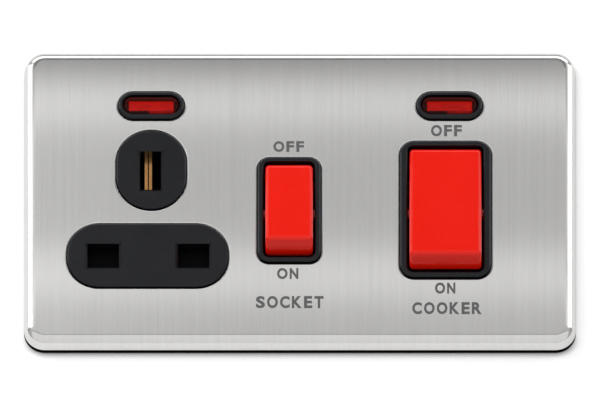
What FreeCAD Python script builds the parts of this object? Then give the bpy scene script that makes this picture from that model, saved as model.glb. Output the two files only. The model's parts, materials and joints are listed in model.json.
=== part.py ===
"""Cooker control unit: a two-gang cover plate with a switched socket and a large cooker switch.

The front faces -Y, +X is to the right and +Z is up. The wall plane is y = 0, and the origin is the
middle of the two box-fixing holes on that plane. Sizes are in millimetres.
"""
import FreeCAD, Part
import math
import os

from FreeCAD import Vector

# Cover plate and frame
PLATE_W = 146.0
PLATE_H = 86.0
PLATE_DEPTH = 5.5
PLATE_SHEET = 0.9
PLATE_CORNER_R = 5.5
PLATE_EDGE_R = 3.1
PLATE_DRAFT = 0.88
FRAME_GAP = 0.2
FRAME_WALL = 1.6
FIX_INSET = 12.7
FIX_SPACING = PLATE_W - 2 * FIX_INSET
FIX_HOLE_R = 1.9
LUG_W = 12.4
LUG_IN = 5.2
APERTURE_GAP = 0.3
FIT_GAP = 0.2

# Mouldings and rear bases
FLANGE_T = 2.8
SKIRT_DEPTH = 5.6
MOULD_WALL = 1.8
BASE_DEPTH = 29.0
BASE_EDGE_R = 0.9
RIB_T = 1.6
DIVIDER_T = 1.2
MODULE_INSET = 11.0
BODY_H = PLATE_H - 2 * MODULE_INSET
FLANGE_RIM = 4.0
SOCKET_LEFT = MODULE_INSET - PLATE_W / 2
SOCKET_RIGHT = 8.0
COOKER_LEFT = 16.0
COOKER_RIGHT = PLATE_W / 2 - MODULE_INSET
BAR_GAP = 0.6

# Socket. A plug's pins stand at the pitch; the holes are larger than the pins and stand a little
# outwards and down from the live and neutral pins, and right and up from the earth pin.
SOCKET_X = -40.13
PIN_PITCH = 22.2
EARTH_Z = 6.2
PIN_H = 4.0
EARTH_PIN_H = 8.0
BOSS_PROUD = 0.6
BOSS_EDGE_R = 0.5
EARTH_BOSS_W = 18.4
EARTH_BOSS_H = 22.9
EARTH_BOSS_SIDE = 0.77
EARTH_BOSS_Z = 7.7
PIN_BOSS_W = 42.5
PIN_BOSS_H = 18.3
PIN_BOSS_R = 8.4
PIN_BOSS_SIDE = 0.2
PIN_BOSS_Z = -17.32
PIN_HOLE_W = 8.3
PIN_HOLE_H = 6.85
PIN_HOLE_OUT = 0.87
PIN_HOLE_DROP = 1.18
EARTH_HOLE_W = 5.5
EARTH_HOLE_H = 11.2
EARTH_HOLE_SIDE = 0.57
EARTH_HOLE_RISE = 1.4
HOLE_CHAMFER = 0.7
HOLE_CORNER_R = 0.2

# Switches
SMALL_X = -2.87
SMALL_Z = -4.05
SMALL_BEZEL_W = 16.6
SMALL_BEZEL_H = 30.4
SMALL_BEZEL_R = 3.1
SMALL_ROCKER_W = 12.6
SMALL_ROCKER_R = 13.4
BIG_X = 38.5
BIG_Z = -3.9
BIG_BEZEL_W = 24.0
BIG_BEZEL_H = 39.6
BIG_BEZEL_R = 3.8
BIG_ROCKER_W = 19.1
BIG_ROCKER_R = 17.9
BEZEL_PROUD = 1.0
BEZEL_EDGE_R = 0.6
BEZEL_INNER_R = 0.4
ROCKER_GAP = 0.5
ROCKER_TILT = 9.0
ROCKER_RISE = 6.5
ROCKER_WALL = 1.8
ROCKER_SKIRT = 1.4
ROCKER_RIDGE_R = 1.4
ROCKER_EDGE_R = 1.1
PIVOT_IN = 3.0
PIVOT_R = 1.4
PIVOT_LEN = 1.4
PIVOT_GAP = 0.08
WELL_WALL = 2.0
WELL_DEPTH = 6.0
POLE_OFFSET = 5.0

# Switch mechanism
PLUNGER_REACH = 13.5
PLUNGER_R = 1.5
PLUNGER_LEN = 4.6
PLUNGER_GAP = 0.1
TUBE_R = 2.7
TUBE_REACH = 11.6
SPRING_WIRE_R = 0.22
PLUNGER_SPRING_TURNS = 8
SPRING_SEAT_GAP = 0.05
SPRING_SIDE_GAP = 0.15
SEESAW_ARM = 11.0
SEESAW_V = 4.0
SEESAW_TILT = 8.0
SEESAW_T = 1.2
SEESAW_W = 4.0
SEESAW_CLEAR = 0.3
TIP_R = 1.5
TIP_H = 1.0
TIP_BACK = 1.2
TIP_HOLE_GAP = 0.05
STRAP_T = 1.2
STRAP_W = 4.4
FULCRUM_R = 1.0
FULCRUM_GAP = 0.3
CONTACT_GAP = 0.3
STRAP_PAST = 2.0
STRAP_END_GAP = 0.4

# Terminals, links and earthing
TERMINAL_W = 8.4
TERMINAL_H = 9.0
TERMINAL_D = 9.6
TERMINAL_WALL = 1.2
TERMINAL_EDGE_R = 0.4
WIRE_HOLE_R = 2.75
SCREW_R = 1.7
SCREW_GAP = 0.1
SCREW_HEAD_R = 2.3
SCREW_HEAD_H = 1.2
SCREW_SLOT_W = 0.7
SCREW_SLOT_DEEP = 0.6
SCREW_BACKED_OFF = 0.3
SCREW_OUT = 0.8
LINK_T = 1.2
LINK_W = 4.0
LINK_SPACE = 1.6
LINK_POST_R = 1.8
LINE_LINK_RISE = 3.6
NEUTRAL_LINK_DROP = 2.6
EARTH_BLOCK_X = -12.0
EARTH_BLOCK_W = 14.0
EARTH_BLOCK_D = 7.0
EARTH_BLOCK_WALL = 0.9
EARTH_WIRE_R = 2.2
EARTH_WIRE_PITCH = 6.6
EARTH_SCREW_R = 1.35
EARTH_STRAP_W = 4.0
EARTH_TAB_W = 6.0
EARTH_TAB_FOOT = 5.0
EARTH_TAB_UP = 8.0

# Pin contacts, folded from one sheet
CONTACT_SHEET = 0.8
CONTACT_W = 6.0
CONTACT_NIP = 0.15
CONTACT_BELLY = 1.2
CONTACT_FLARE = 1.4
CONTACT_LIP = 2.4
CONTACT_HEEL = 6.0
CONTACT_FROM_SHUTTER = 0.5
EARTH_LEAF_H = 11.6
EARTH_NIP = 0.15
EARTH_BELLY = 2.1
EARTH_TAPER = 3.4

# Shutter
SHUTTER_T = 1.6
SHUTTER_TRAVEL = 5.4
SHUTTER_W = 33.2
SHUTTER_COVER = 0.6
SHUTTER_CORNER_R = 2.0
SHUTTER_STEM_W = 6.4
SHUTTER_RAMP = 3.6
SHUTTER_RAMP_W = 4.8
SHUTTER_HEEL = 3.0
SHUTTER_CLEAR = 0.4
SHUTTER_FOOT_W = 4.4
SHUTTER_FOOT_H = 2.4
SHUTTER_FOOT_D = 3.2
SHUTTER_SPRING_R = 1.3
SHUTTER_SPRING_TURNS = 6

# Neons
NEON_SIDE = 1.07
NEON_DROP = 5.55
NEON_W = 17.3
NEON_H = 7.8
NEON_EDGE_R = 0.7
NEON_LENS_W = 15.2
NEON_LENS_H = 5.5
NEON_PROUD = 0.9
LENS_IN = 0.1
LENS_GAP = 0.05
LENS_EDGE_R = 1.1
LENS_TAIL = 1.4
LENS_POCKET_W = 11.8
LENS_POCKET_H = 4.0
LENS_FRONT_T = 1.3
LAMP_R = 2.4
LAMP_LEN = 12.0
LAMP_END_R = 1.9
LAMP_GAP = 0.3
RESISTOR_R = 1.1
RESISTOR_LEN = 6.4
RESISTOR_END = 1.6
RESISTOR_NECK = 0.85
RESISTOR_SIDE = 1.4
RESISTOR_AWAY = 3.6
RESISTOR_BELOW = 7.0
LEAD_R = 0.4
LEAD_BEND = 1.6
LEAD_DROP = 4.0
LEAD_LOW = 7.0
LEAD_BACK = 9.0

# Fasteners
MODULE_SCREW_R = 1.2
MODULE_HEAD_R = 2.2
MODULE_SCREW_IN = 2.0
MODULE_SLOT_W = 0.5
MODULE_SLOT_DEEP = 0.5
BASE_SCREW_R = 1.4
BASE_HEAD_R = 2.2
BASE_HEAD_H = 2.0
BASE_HEAD_SUNK = 3.0
BASE_SLOT_W = 0.8
BASE_SLOT_DEEP = 0.8
BASE_SCREW_INSET = 3.6
BASE_BOSS_R = 3.0
BASE_HOLE_DEEP = 4.6
THREAD_GAP = 0.02

# Planes worked out from the sizes above, as y values
FACE_Y = -PLATE_DEPTH
PLATE_BACK_Y = FACE_Y + PLATE_SHEET
FLANGE_FRONT_Y = PLATE_BACK_Y + FRAME_GAP
FLANGE_BACK_Y = FLANGE_FRONT_Y + FLANGE_T
FRAME_FACE_Y = FLANGE_BACK_Y
BOSS_Y = FACE_Y - BOSS_PROUD
BEZEL_Y = FACE_Y - BEZEL_PROUD
NEON_Y = FACE_Y - NEON_PROUD
JOIN_Y = FLANGE_BACK_Y + SKIRT_DEPTH
PIVOT_Y = FACE_Y + PIVOT_IN
BASE_BACK_Y = BASE_DEPTH
BASE_FLOOR_Y = BASE_BACK_Y - MOULD_WALL
SEESAW_Y = PIVOT_Y + PLUNGER_REACH
SEESAW_BACK_Y = SEESAW_Y + SEESAW_T
TIP_SWING = SEESAW_ARM * math.sin(math.radians(SEESAW_TILT - SEESAW_V))
FIXED_TIP_Y = SEESAW_BACK_Y + TIP_SWING + TIP_H + CONTACT_GAP
STRAP_Y = FIXED_TIP_Y + TIP_H
STRAP_BACK_Y = STRAP_Y + STRAP_T
NEUTRAL_LINK_Y = STRAP_BACK_Y + LINK_SPACE
NEUTRAL_LINK_BACK_Y = NEUTRAL_LINK_Y + LINK_T
EARTH_STRAP_Y = NEUTRAL_LINK_Y
EARTH_STRAP_BACK_Y = EARTH_STRAP_Y + CONTACT_SHEET
SHUTTER_FRONT_Y = FLANGE_BACK_Y + FIT_GAP
SHUTTER_BACK_Y = SHUTTER_FRONT_Y + SHUTTER_T
BODY_TOP = BODY_H / 2
FLANGE_TOP = BODY_TOP + FLANGE_RIM
INNER_TOP = BODY_TOP - MOULD_WALL
EARTH_BOSS_X = SOCKET_X + EARTH_BOSS_SIDE
PIN_BOSS_X = SOCKET_X - PIN_BOSS_SIDE
NEON_X = (EARTH_BOSS_X, BIG_X + NEON_SIDE)
NEON_Z = BODY_TOP - NEON_DROP
LENS_BACK_Y = FLANGE_FRONT_Y + LENS_TAIL
LAMP_Y = LENS_BACK_Y + LAMP_GAP + LAMP_R
PIN_X = (SOCKET_X - PIN_PITCH / 2, SOCKET_X + PIN_PITCH / 2)
PIN_Z = EARTH_Z - PIN_PITCH
PIN_HOLE_X = (PIN_X[0] - PIN_HOLE_OUT, PIN_X[1] + PIN_HOLE_OUT)
PIN_HOLE_Z = PIN_Z - PIN_HOLE_DROP
EARTH_HOLE_X = SOCKET_X + EARTH_HOLE_SIDE
EARTH_HOLE_Z = EARTH_Z + EARTH_HOLE_RISE
EARTH_LEAF_LOW = EARTH_HOLE_Z - EARTH_LEAF_H / 2
BAR_MID_X = (SOCKET_RIGHT + COOKER_LEFT) / 2
LUG_CLEAR_X = FIX_SPACING / 2 - LUG_IN
POLES = {"line": BIG_X - POLE_OFFSET, "neutral": BIG_X + POLE_OFFSET}
POLES_X = tuple(POLES.values())
SUPPLY_Z = BODY_TOP - TERMINAL_H
LOAD_Z = -BODY_TOP
LINE_LINK_Z = BIG_Z + SEESAW_ARM + LINE_LINK_RISE
NEUTRAL_LINK_Z = SUPPLY_Z - NEUTRAL_LINK_DROP - LINK_W / 2
EARTH_STRAP_LOW = EARTH_STRAP_W - BODY_TOP
SOCKET_STRAP_TOP = NEON_Z + STRAP_END_GAP
SOCKET_RESISTOR = (NEON_X[0] + LAMP_LEN / 2 + RESISTOR_AWAY, LAMP_Y, NEON_Z)
COOKER_RESISTOR = (BIG_X - BIG_ROCKER_W / 2 - ROCKER_GAP - WELL_WALL - RESISTOR_SIDE, LAMP_Y,
                   NEON_Z - RESISTOR_BELOW)


def box(x0, x1, y0, y1, z0, z1):
    """A box between two corners."""
    return Part.makeBox(x1 - x0, y1 - y0, z1 - z0, Vector(x0, y0, z0))


def outline(cx, cz, width, height, radius, y):
    """The wire of a rectangle with round corners in XZ; full-radius ends give an obround."""
    half_w = width / 2
    half_h = height / 2
    r = min(radius, half_w, half_h)
    centres = [(half_w - r, half_h - r, 0), (r - half_w, half_h - r, 90),
               (r - half_w, r - half_h, 180), (half_w - r, r - half_h, 270)]
    arcs = []
    for dx, dz, start in centres:
        points = []
        for turn in (0, 45, 90):
            angle = math.radians(start + turn)
            points.append(Vector(cx + dx + r * math.cos(angle), y, cz + dz + r * math.sin(angle)))
        arcs.append(points)
    edges = []
    for i, points in enumerate(arcs):
        edges.append(Part.Arc(*points).toShape())
        follow = arcs[(i + 1) % 4][0]
        if points[2].distanceToPoint(follow) > 1e-6:
            edges.append(Part.makeLine(points[2], follow))
    return Part.Wire(edges)


def slab(cx, cz, width, height, radius, y0, y1):
    """A plate with round corners in XZ, from y0 back to y1."""
    face = Part.Face(outline(cx, cz, width, height, radius, y0))
    return face.extrude(Vector(0, y1 - y0, 0))


def rod(axis, centre, radius, length):
    """A round bar that starts at centre and runs along axis."""
    return Part.makeCylinder(radius, length, Vector(*centre), Vector(*axis))


def edges_at(shape, y):
    """The edges of a shape that lie in the plane at y."""
    found = []
    for edge in shape.Edges:
        bounds = edge.BoundBox
        if abs(bounds.YMin - y) < 1e-4 and abs(bounds.YMax - y) < 1e-4:
            found.append(edge)
    return found


def round_front(shape, y, radius):
    """Round off every edge in the front plane at y."""
    return shape.makeFillet(radius, edges_at(shape, y))


def profile_x(points, x0, x1):
    """A closed outline in YZ, given as (y, z) points, run from x0 to x1."""
    corners = [Vector(x0, y, z) for y, z in points]
    wire = Part.makePolygon(corners + corners[:1])
    return Part.Face(wire).extrude(Vector(x1 - x0, 0, 0))


def joined(shapes):
    """One solid from shapes that touch or overlap."""
    first = shapes[0]
    return first.multiFuse(shapes[1:]).removeSplitter()


def export(name, shapes):
    """Write one node, as one solid or as a group of separate solids."""
    group = shapes if isinstance(shapes, list) else [shapes]
    solids = [solid for shape in group for solid in shape.Solids]
    shape = solids[0] if len(solids) == 1 else Part.makeCompound(solids)
    shape.exportStep("parts/" + name + ".step")
    if not shape.isValid():
        print(name, "is not valid")
    return shape


def turned(shape, y, z, degrees):
    """A copy of a shape turned about an X axis through (y, z)."""
    copy = shape.copy()
    copy.rotate(Vector(0, y, z), Vector(1, 0, 0), degrees)
    return copy


def lug_notch(side, grow=0.0):
    """The space round the wall box's fixing lug, on the left (-1) or the right (1)."""
    inner = LUG_CLEAR_X - grow
    outer = PLATE_W
    x0, x1 = (inner, outer) if side > 0 else (-outer, -inner)
    half = LUG_W / 2 + grow
    return box(x0, x1, FLANGE_FRONT_Y - 1, BASE_BACK_Y + 1, -half, half)


def tray(inset, front, edge_r):
    """A shallow block whose drafted sides meet its soft front edge at a crease.

    Its rear edge, at the wall, stands that inset inside the plate's.
    """
    width = PLATE_W - 2 * inset
    height = PLATE_H - 2 * inset
    corner = PLATE_CORNER_R - inset
    draft = PLATE_DRAFT * front / FACE_Y
    rear = outline(0, 0, width, height, corner, 0)
    face = outline(0, 0, width - 2 * draft, height - 2 * draft, corner - draft, front)
    sides = Part.makeLoft([rear, face], True, True)
    soft = round_front(slab(0, 0, width, height, corner, front, 0), front, edge_r)
    return sides.common(soft)


def front_plate():
    """The pressed cover: a shallow tray with a soft edge, a crease and cut apertures."""
    outer = tray(0, FACE_Y, PLATE_EDGE_R)
    plate = outer.cut(tray(PLATE_SHEET, PLATE_BACK_Y, PLATE_EDGE_R - PLATE_SHEET))
    gap = 2 * APERTURE_GAP
    holes = [
        slab(EARTH_BOSS_X, EARTH_BOSS_Z, EARTH_BOSS_W + gap, EARTH_BOSS_H + gap, PLATE_H,
             FACE_Y - 1, 0),
        slab(PIN_BOSS_X, PIN_BOSS_Z, PIN_BOSS_W + gap, PIN_BOSS_H + gap,
             PIN_BOSS_R + APERTURE_GAP, FACE_Y - 1, 0),
        slab(SMALL_X, SMALL_Z, SMALL_BEZEL_W + gap, SMALL_BEZEL_H + gap,
             SMALL_BEZEL_R + APERTURE_GAP, FACE_Y - 1, 0),
        slab(BIG_X, BIG_Z, BIG_BEZEL_W + gap, BIG_BEZEL_H + gap,
             BIG_BEZEL_R + APERTURE_GAP, FACE_Y - 1, 0),
    ]
    for x in NEON_X:
        holes.append(slab(x, NEON_Z, NEON_W + gap, NEON_H + gap, PLATE_H, FACE_Y - 1, 0))
    return plate.cut(holes)


def module_edges(left):
    """The left and right sides of the socket module or the cooker module."""
    return (SOCKET_LEFT, SOCKET_RIGHT) if left else (COOKER_LEFT, COOKER_RIGHT)


def flange_edges(left):
    """The sides of a module's flange, which is wider than its body and meets the other at a gap."""
    if left:
        return SOCKET_LEFT - FLANGE_RIM, BAR_MID_X - BAR_GAP / 2
    return BAR_MID_X + BAR_GAP / 2, COOKER_RIGHT + FLANGE_RIM


def module_screw_places(left):
    """The corners of a flange, where it is screwed to the frame."""
    x0, x1 = flange_edges(left)
    inset = FLANGE_RIM / 2
    z = BODY_TOP + inset
    return [(x, side * z) for x in (x0 + inset, x1 - inset - MODULE_SCREW_IN) for side in (-1, 1)]


def base_screw_places(left):
    """The corners of a rear base, where it is screwed to its front moulding."""
    x0, x1 = module_edges(left)
    z = BODY_TOP - BASE_SCREW_INSET
    inner = BASE_SCREW_INSET
    return [(x, side * z) for x in (x0 + inner, x1 - inner) for side in (-1, 1)]


def support_frame():
    """The frame behind the plate: a tray with two windows, fixing ears and a rim for the plate."""
    inset = PLATE_SHEET + FRAME_GAP
    frame = tray(inset, FLANGE_FRONT_Y, PLATE_EDGE_R - PLATE_SHEET)
    inset += FRAME_WALL
    inside = slab(0, 0, PLATE_W - 2 * inset, PLATE_H - 2 * inset, PLATE_CORNER_R - inset,
                  FLANGE_FRONT_Y - 1, FRAME_FACE_Y)
    frame = frame.cut(inside)
    for left in (True, False):
        x0, x1 = module_edges(left)
        top = BODY_TOP + FIT_GAP
        window = box(x0 - FIT_GAP, x1 + FIT_GAP, FRAME_FACE_Y - 1, 1, -top, top)
        frame = frame.cut(window.cut(lug_notch(-1 if left else 1, -FIT_GAP)))
        for x, z in module_screw_places(left):
            frame = frame.cut(rod((0, 1, 0), (x, FRAME_FACE_Y - 1, z), MODULE_SCREW_R, 4))
    for side in (-1, 1):
        centre = (side * FIX_SPACING / 2, FRAME_FACE_Y - 1, 0)
        frame = frame.cut(rod((0, 1, 0), centre, FIX_HOLE_R, 4))
    half = EARTH_TAB_W / 2 + FIT_GAP
    under = -BODY_TOP - FIT_GAP
    pocket = box(EARTH_BLOCK_X - half, EARTH_BLOCK_X + half, -CONTACT_SHEET - SCREW_GAP, 1,
                 under - EARTH_TAB_FOOT - FIT_GAP, under + 1)
    return frame.cut(pocket)


def module_front(left):
    """A moulding's flange and skirt, before its bosses, wells and holes."""
    f0, f1 = flange_edges(left)
    x0, x1 = module_edges(left)
    flange = box(f0, f1, FLANGE_FRONT_Y, FLANGE_BACK_Y, -FLANGE_TOP, FLANGE_TOP)
    skirt = box(x0, x1, FLANGE_BACK_Y, JOIN_Y, -BODY_TOP, BODY_TOP)
    side = -1 if left else 1
    body = flange.fuse(skirt).cut(lug_notch(side))
    hollow = box(x0 + MOULD_WALL, x1 - MOULD_WALL, FLANGE_BACK_Y, JOIN_Y + 1, -INNER_TOP, INNER_TOP)
    body = body.cut(hollow.cut(lug_notch(side, MOULD_WALL)))
    bosses = [rod((0, 1, 0), (x, FLANGE_BACK_Y, z), BASE_BOSS_R, SKIRT_DEPTH)
              for x, z in base_screw_places(left)]
    return body.multiFuse(bosses)


def finish_front(body, left):
    """Cut the screw holes of a moulding."""
    cuts = []
    for x, z in module_screw_places(left):
        cuts.append(rod((0, 1, 0), (x, FLANGE_FRONT_Y - 1, z), MODULE_SCREW_R + SCREW_GAP, 6))
        sink = MODULE_HEAD_R - MODULE_SCREW_R
        cuts.append(Part.makeCone(MODULE_HEAD_R + SCREW_GAP, MODULE_SCREW_R + SCREW_GAP, sink,
                                  Vector(x, FLANGE_FRONT_Y, z), Vector(0, 1, 0)))
    for x, z in base_screw_places(left):
        cuts.append(rod((0, 1, 0), (x, JOIN_Y - BASE_HOLE_DEEP, z), BASE_SCREW_R,
                        BASE_HOLE_DEEP + 1))
    return body.cut(cuts).removeSplitter()


def bezel(cx, cz, width, height, corner_r, rocker_w, rocker_r):
    """A switch surround with its well, and the opening and pivot pockets to cut from both."""
    lip = slab(cx, cz, width, height, corner_r, BEZEL_Y, FLANGE_BACK_Y)
    lip = round_front(lip, BEZEL_Y, BEZEL_EDGE_R)
    open_w = rocker_w + 2 * ROCKER_GAP
    open_h = 2 * (rocker_r + ROCKER_GAP)
    mouth = slab(cx, cz, open_w, open_h, ROCKER_EDGE_R + ROCKER_GAP, BEZEL_Y - 1, FLANGE_BACK_Y + 1)
    lip = lip.cut(mouth)
    inner = [edge for edge in edges_at(lip, BEZEL_Y)
             if abs(edge.BoundBox.Center.x - cx) < open_w / 2 + 0.01
             and abs(edge.BoundBox.Center.z - cz) < open_h / 2 + 0.01]
    lip = lip.makeFillet(BEZEL_INNER_R, inner)
    well = box(cx - open_w / 2 - WELL_WALL, cx + open_w / 2 + WELL_WALL,
               FLANGE_BACK_Y, FLANGE_BACK_Y + WELL_DEPTH,
               cz - open_h / 2 - WELL_WALL, cz + open_h / 2 + WELL_WALL)
    opening = slab(cx, cz, open_w, open_h, ROCKER_EDGE_R + ROCKER_GAP, BEZEL_Y - 1,
                   FLANGE_BACK_Y + WELL_DEPTH + 1)
    reach = rocker_w / 2 + PIVOT_LEN + ROCKER_GAP
    pockets = rod((1, 0, 0), (cx - reach, PIVOT_Y, cz), PIVOT_R + PIVOT_GAP, 2 * reach)
    return [lip, well], [opening, pockets]


def tapered_hole(cx, cz, width, height):
    """A pin hole through a boss, and its chamfered mouth with crisp corners."""
    hole = slab(cx, cz, width, height, HOLE_CORNER_R, BOSS_Y - 1, FLANGE_BACK_Y + 1)
    wide = outline(cx, cz, width + 2 * HOLE_CHAMFER, height + 2 * HOLE_CHAMFER, HOLE_CORNER_R,
                   BOSS_Y)
    narrow = outline(cx, cz, width, height, HOLE_CORNER_R, BOSS_Y + HOLE_CHAMFER)
    return hole, Part.makeLoft([wide, narrow], True, True)


def neon_hole(cx):
    """The hole behind a neon, which its lens and the front of its lamp stand in."""
    return slab(cx, NEON_Z, NEON_LENS_W + 2 * FIT_GAP, NEON_LENS_H + 2 * FIT_GAP, PLATE_H,
                FLANGE_FRONT_Y - 1, FLANGE_BACK_Y + 1)


def socket_front():
    """The socket moulding: earth boss, live and neutral boss, small bezel and well."""
    earth = round_front(slab(EARTH_BOSS_X, EARTH_BOSS_Z, EARTH_BOSS_W, EARTH_BOSS_H, PLATE_H,
                             BOSS_Y, FLANGE_BACK_Y), BOSS_Y, BOSS_EDGE_R)
    pins = round_front(slab(PIN_BOSS_X, PIN_BOSS_Z, PIN_BOSS_W, PIN_BOSS_H, PIN_BOSS_R,
                            BOSS_Y, FLANGE_BACK_Y), BOSS_Y, BOSS_EDGE_R)
    adds, cuts = bezel(SMALL_X, SMALL_Z, SMALL_BEZEL_W, SMALL_BEZEL_H, SMALL_BEZEL_R,
                       SMALL_ROCKER_W, SMALL_ROCKER_R)
    body = module_front(True).multiFuse([earth, pins] + adds)
    body = body.cut(cuts + [neon_hole(NEON_X[0])])
    for hole in (tapered_hole(EARTH_HOLE_X, EARTH_HOLE_Z, EARTH_HOLE_W, EARTH_HOLE_H),
                 tapered_hole(PIN_HOLE_X[0], PIN_HOLE_Z, PIN_HOLE_W, PIN_HOLE_H),
                 tapered_hole(PIN_HOLE_X[1], PIN_HOLE_Z, PIN_HOLE_W, PIN_HOLE_H)):
        body = body.cut(list(hole))
    return finish_front(body, True)


def cooker_front():
    """The cooker switch's moulding: large bezel and well."""
    adds, cuts = bezel(BIG_X, BIG_Z, BIG_BEZEL_W, BIG_BEZEL_H, BIG_BEZEL_R, BIG_ROCKER_W,
                       BIG_ROCKER_R)
    body = module_front(False).multiFuse(adds)
    body = body.cut(cuts + [neon_hole(NEON_X[1])])
    return finish_front(body, False)


def rocker(cx, cz, width, radius, tubes):
    """A switch rocker at its OFF rest: flat face, ends struck from the pivot, hollow back."""
    front = PIVOT_Y - ROCKER_RISE
    half = math.sqrt(radius ** 2 - ROCKER_RISE ** 2)
    back = PIVOT_Y + ROCKER_SKIRT
    half_back = math.sqrt(radius ** 2 - ROCKER_SKIRT ** 2)
    x0 = cx - width / 2

    def point(y, z):
        return Vector(x0, y, cz + z)

    edges = [
        Part.makeLine(point(front, -half), point(front, half)),
        Part.Arc(point(front, half), point(PIVOT_Y, radius), point(back, half_back)).toShape(),
        Part.makeLine(point(back, half_back), point(back, -half_back)),
        Part.Arc(point(back, -half_back), point(PIVOT_Y, -radius), point(front, -half)).toShape(),
    ]
    body = Part.Face(Part.Wire(edges)).extrude(Vector(width, 0, 0))
    ridges = [edge for edge in edges_at(body, front) if edge.BoundBox.ZLength < 0.01]
    body = body.makeFillet(ROCKER_RIDGE_R, ridges)
    sides = [edge for edge in body.Edges
             if edge.BoundBox.XLength < 0.01 and edge.BoundBox.YMin < back - 0.1]
    body = body.makeFillet(ROCKER_EDGE_R, sides)
    wall = ROCKER_WALL
    hollow = box(x0 + wall, x0 + width - wall, front + wall, back + 1,
                 cz - half_back + 2 * wall, cz + half_back - 2 * wall)
    body = body.cut(hollow)
    pins = [rod((1, 0, 0), (cx - width / 2 - PIVOT_LEN, PIVOT_Y, cz), PIVOT_R, PIVOT_LEN + wall),
            rod((1, 0, 0), (cx + width / 2 - wall, PIVOT_Y, cz), PIVOT_R, PIVOT_LEN + wall)]
    stems = [rod((0, 1, 0), (x, front + wall / 2, cz), TUBE_R, TUBE_REACH + ROCKER_RISE - wall / 2)
             for x in tubes]
    bores = [rod((0, 1, 0), (x, front + 2 * wall, cz), PLUNGER_R + PLUNGER_GAP, TUBE_REACH + ROCKER_RISE)
             for x in tubes]
    body = body.multiFuse(pins + stems).cut(bores).removeSplitter()
    return turned(body, PIVOT_Y, cz, -ROCKER_TILT)


def plunger(x, cz):
    """The sprung nose in a rocker's tube, at the OFF rest."""
    tip = PIVOT_Y + PLUNGER_REACH - SEESAW_CLEAR
    body = rod((0, 1, 0), (x, tip - PLUNGER_LEN, cz), PLUNGER_R, PLUNGER_LEN - PLUNGER_R)
    nose = Part.makeSphere(PLUNGER_R, Vector(x, tip - PLUNGER_R, cz))
    return turned(body.fuse(nose).removeSplitter(), PIVOT_Y, cz, -ROCKER_TILT)


def coil(start, axis_turn, length, radius, turns):
    """A round-wire compression spring from start, wound about Z and then turned."""
    helix = Part.makeHelix((length - 2 * SPRING_WIRE_R) / turns, length - 2 * SPRING_WIRE_R, radius)
    section = Part.Wire(Part.makeCircle(SPRING_WIRE_R, Vector(radius, 0, 0), Vector(0, 1, 0)))
    spring = Part.Wire(helix).makePipeShell([section], True, True)
    spring.translate(Vector(0, 0, SPRING_WIRE_R))
    if axis_turn:
        spring.rotate(Vector(0, 0, 0), Vector(1, 0, 0), axis_turn)
    spring.translate(Vector(*start))
    return Part.Solid(spring) if not spring.Solids else spring.Solids[0]


def plunger_spring(x, cz):
    """The spring behind a plunger, inside its tube."""
    seat = PIVOT_Y - ROCKER_RISE + 2 * ROCKER_WALL
    plunger_back = PIVOT_Y + PLUNGER_REACH - SEESAW_CLEAR - PLUNGER_LEN
    spring = coil((x, seat + SPRING_SEAT_GAP, cz), -90, plunger_back - seat - 2 * SPRING_SEAT_GAP,
                  PLUNGER_R - SPRING_WIRE_R - SPRING_SIDE_GAP, PLUNGER_SPRING_TURNS)
    return turned(spring, PIVOT_Y, cz, -ROCKER_TILT)


def seesaw(x, cz, width=SEESAW_W):
    """A see-saw contact with a slight V, at its OFF rest."""
    rise = SEESAW_ARM * math.sin(math.radians(SEESAW_V))
    reach = SEESAW_ARM * math.cos(math.radians(SEESAW_V))
    y = SEESAW_Y
    corners = [(y, cz), (y - rise, cz + reach), (y - rise + SEESAW_T, cz + reach),
               (y + SEESAW_T, cz), (y - rise + SEESAW_T, cz - reach), (y - rise, cz - reach)]
    body = profile_x(corners, x - width / 2, x + width / 2)
    hole_z = SEESAW_ARM - TIP_BACK
    hole = rod((0, 1, 0), (x, y - SEESAW_T, cz + hole_z), TIP_R / 2 + TIP_HOLE_GAP, 3 * SEESAW_T)
    return turned(body.cut(turned(hole, SEESAW_BACK_Y, cz, SEESAW_V)), SEESAW_BACK_Y, cz, SEESAW_TILT)


def moving_tip(x, cz):
    """The silver rivet near the top of a see-saw, at its OFF rest."""
    z = cz + SEESAW_ARM - TIP_BACK
    shank = rod((0, 1, 0), (x, SEESAW_Y - 0.3, z), TIP_R / 2, SEESAW_T + 0.4)
    head = rod((0, 1, 0), (x, SEESAW_BACK_Y + 0.02, z), TIP_R, TIP_H)
    tip = turned(shank.fuse(head).removeSplitter(), SEESAW_BACK_Y, cz, SEESAW_V)
    return turned(tip, SEESAW_BACK_Y, cz, SEESAW_TILT)


def fixed_tip_z(cz):
    """The height of a fixed tip, in line with the moving one."""
    return cz + (SEESAW_ARM - TIP_BACK) * math.cos(math.radians(SEESAW_TILT - SEESAW_V))


def fixed_tip(x, cz):
    """The silver rivet of a fixed contact."""
    return rod((0, 1, 0), (x, FIXED_TIP_Y, fixed_tip_z(cz)), TIP_R, TIP_H)


def fixed_strap(x, cz, top):
    """The strap from a fixed tip up to the top end of a pole."""
    low = fixed_tip_z(cz) - TIP_R - STRAP_PAST / 2
    return box(x - STRAP_W / 2, x + STRAP_W / 2, STRAP_Y, STRAP_BACK_Y, low, top)


def fulcrum(x, cz):
    """The raised ridge that a see-saw rocks on."""
    ridge_y = SEESAW_BACK_Y + FULCRUM_GAP + FULCRUM_R
    ridge = rod((1, 0, 0), (x - STRAP_W / 2, ridge_y, cz), FULCRUM_R, STRAP_W)
    neck = box(x - STRAP_W / 2, x + STRAP_W / 2, ridge_y, STRAP_Y + STRAP_T / 2,
               cz - FULCRUM_R, cz + FULCRUM_R)
    return [ridge, neck]


def pivot_strap(x, cz, low):
    """The strap that carries a see-saw and runs down from it."""
    strap = box(x - STRAP_W / 2, x + STRAP_W / 2, STRAP_Y, STRAP_BACK_Y, low, cz + STRAP_PAST)
    return joined([strap] + fulcrum(x, cz))


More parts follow.
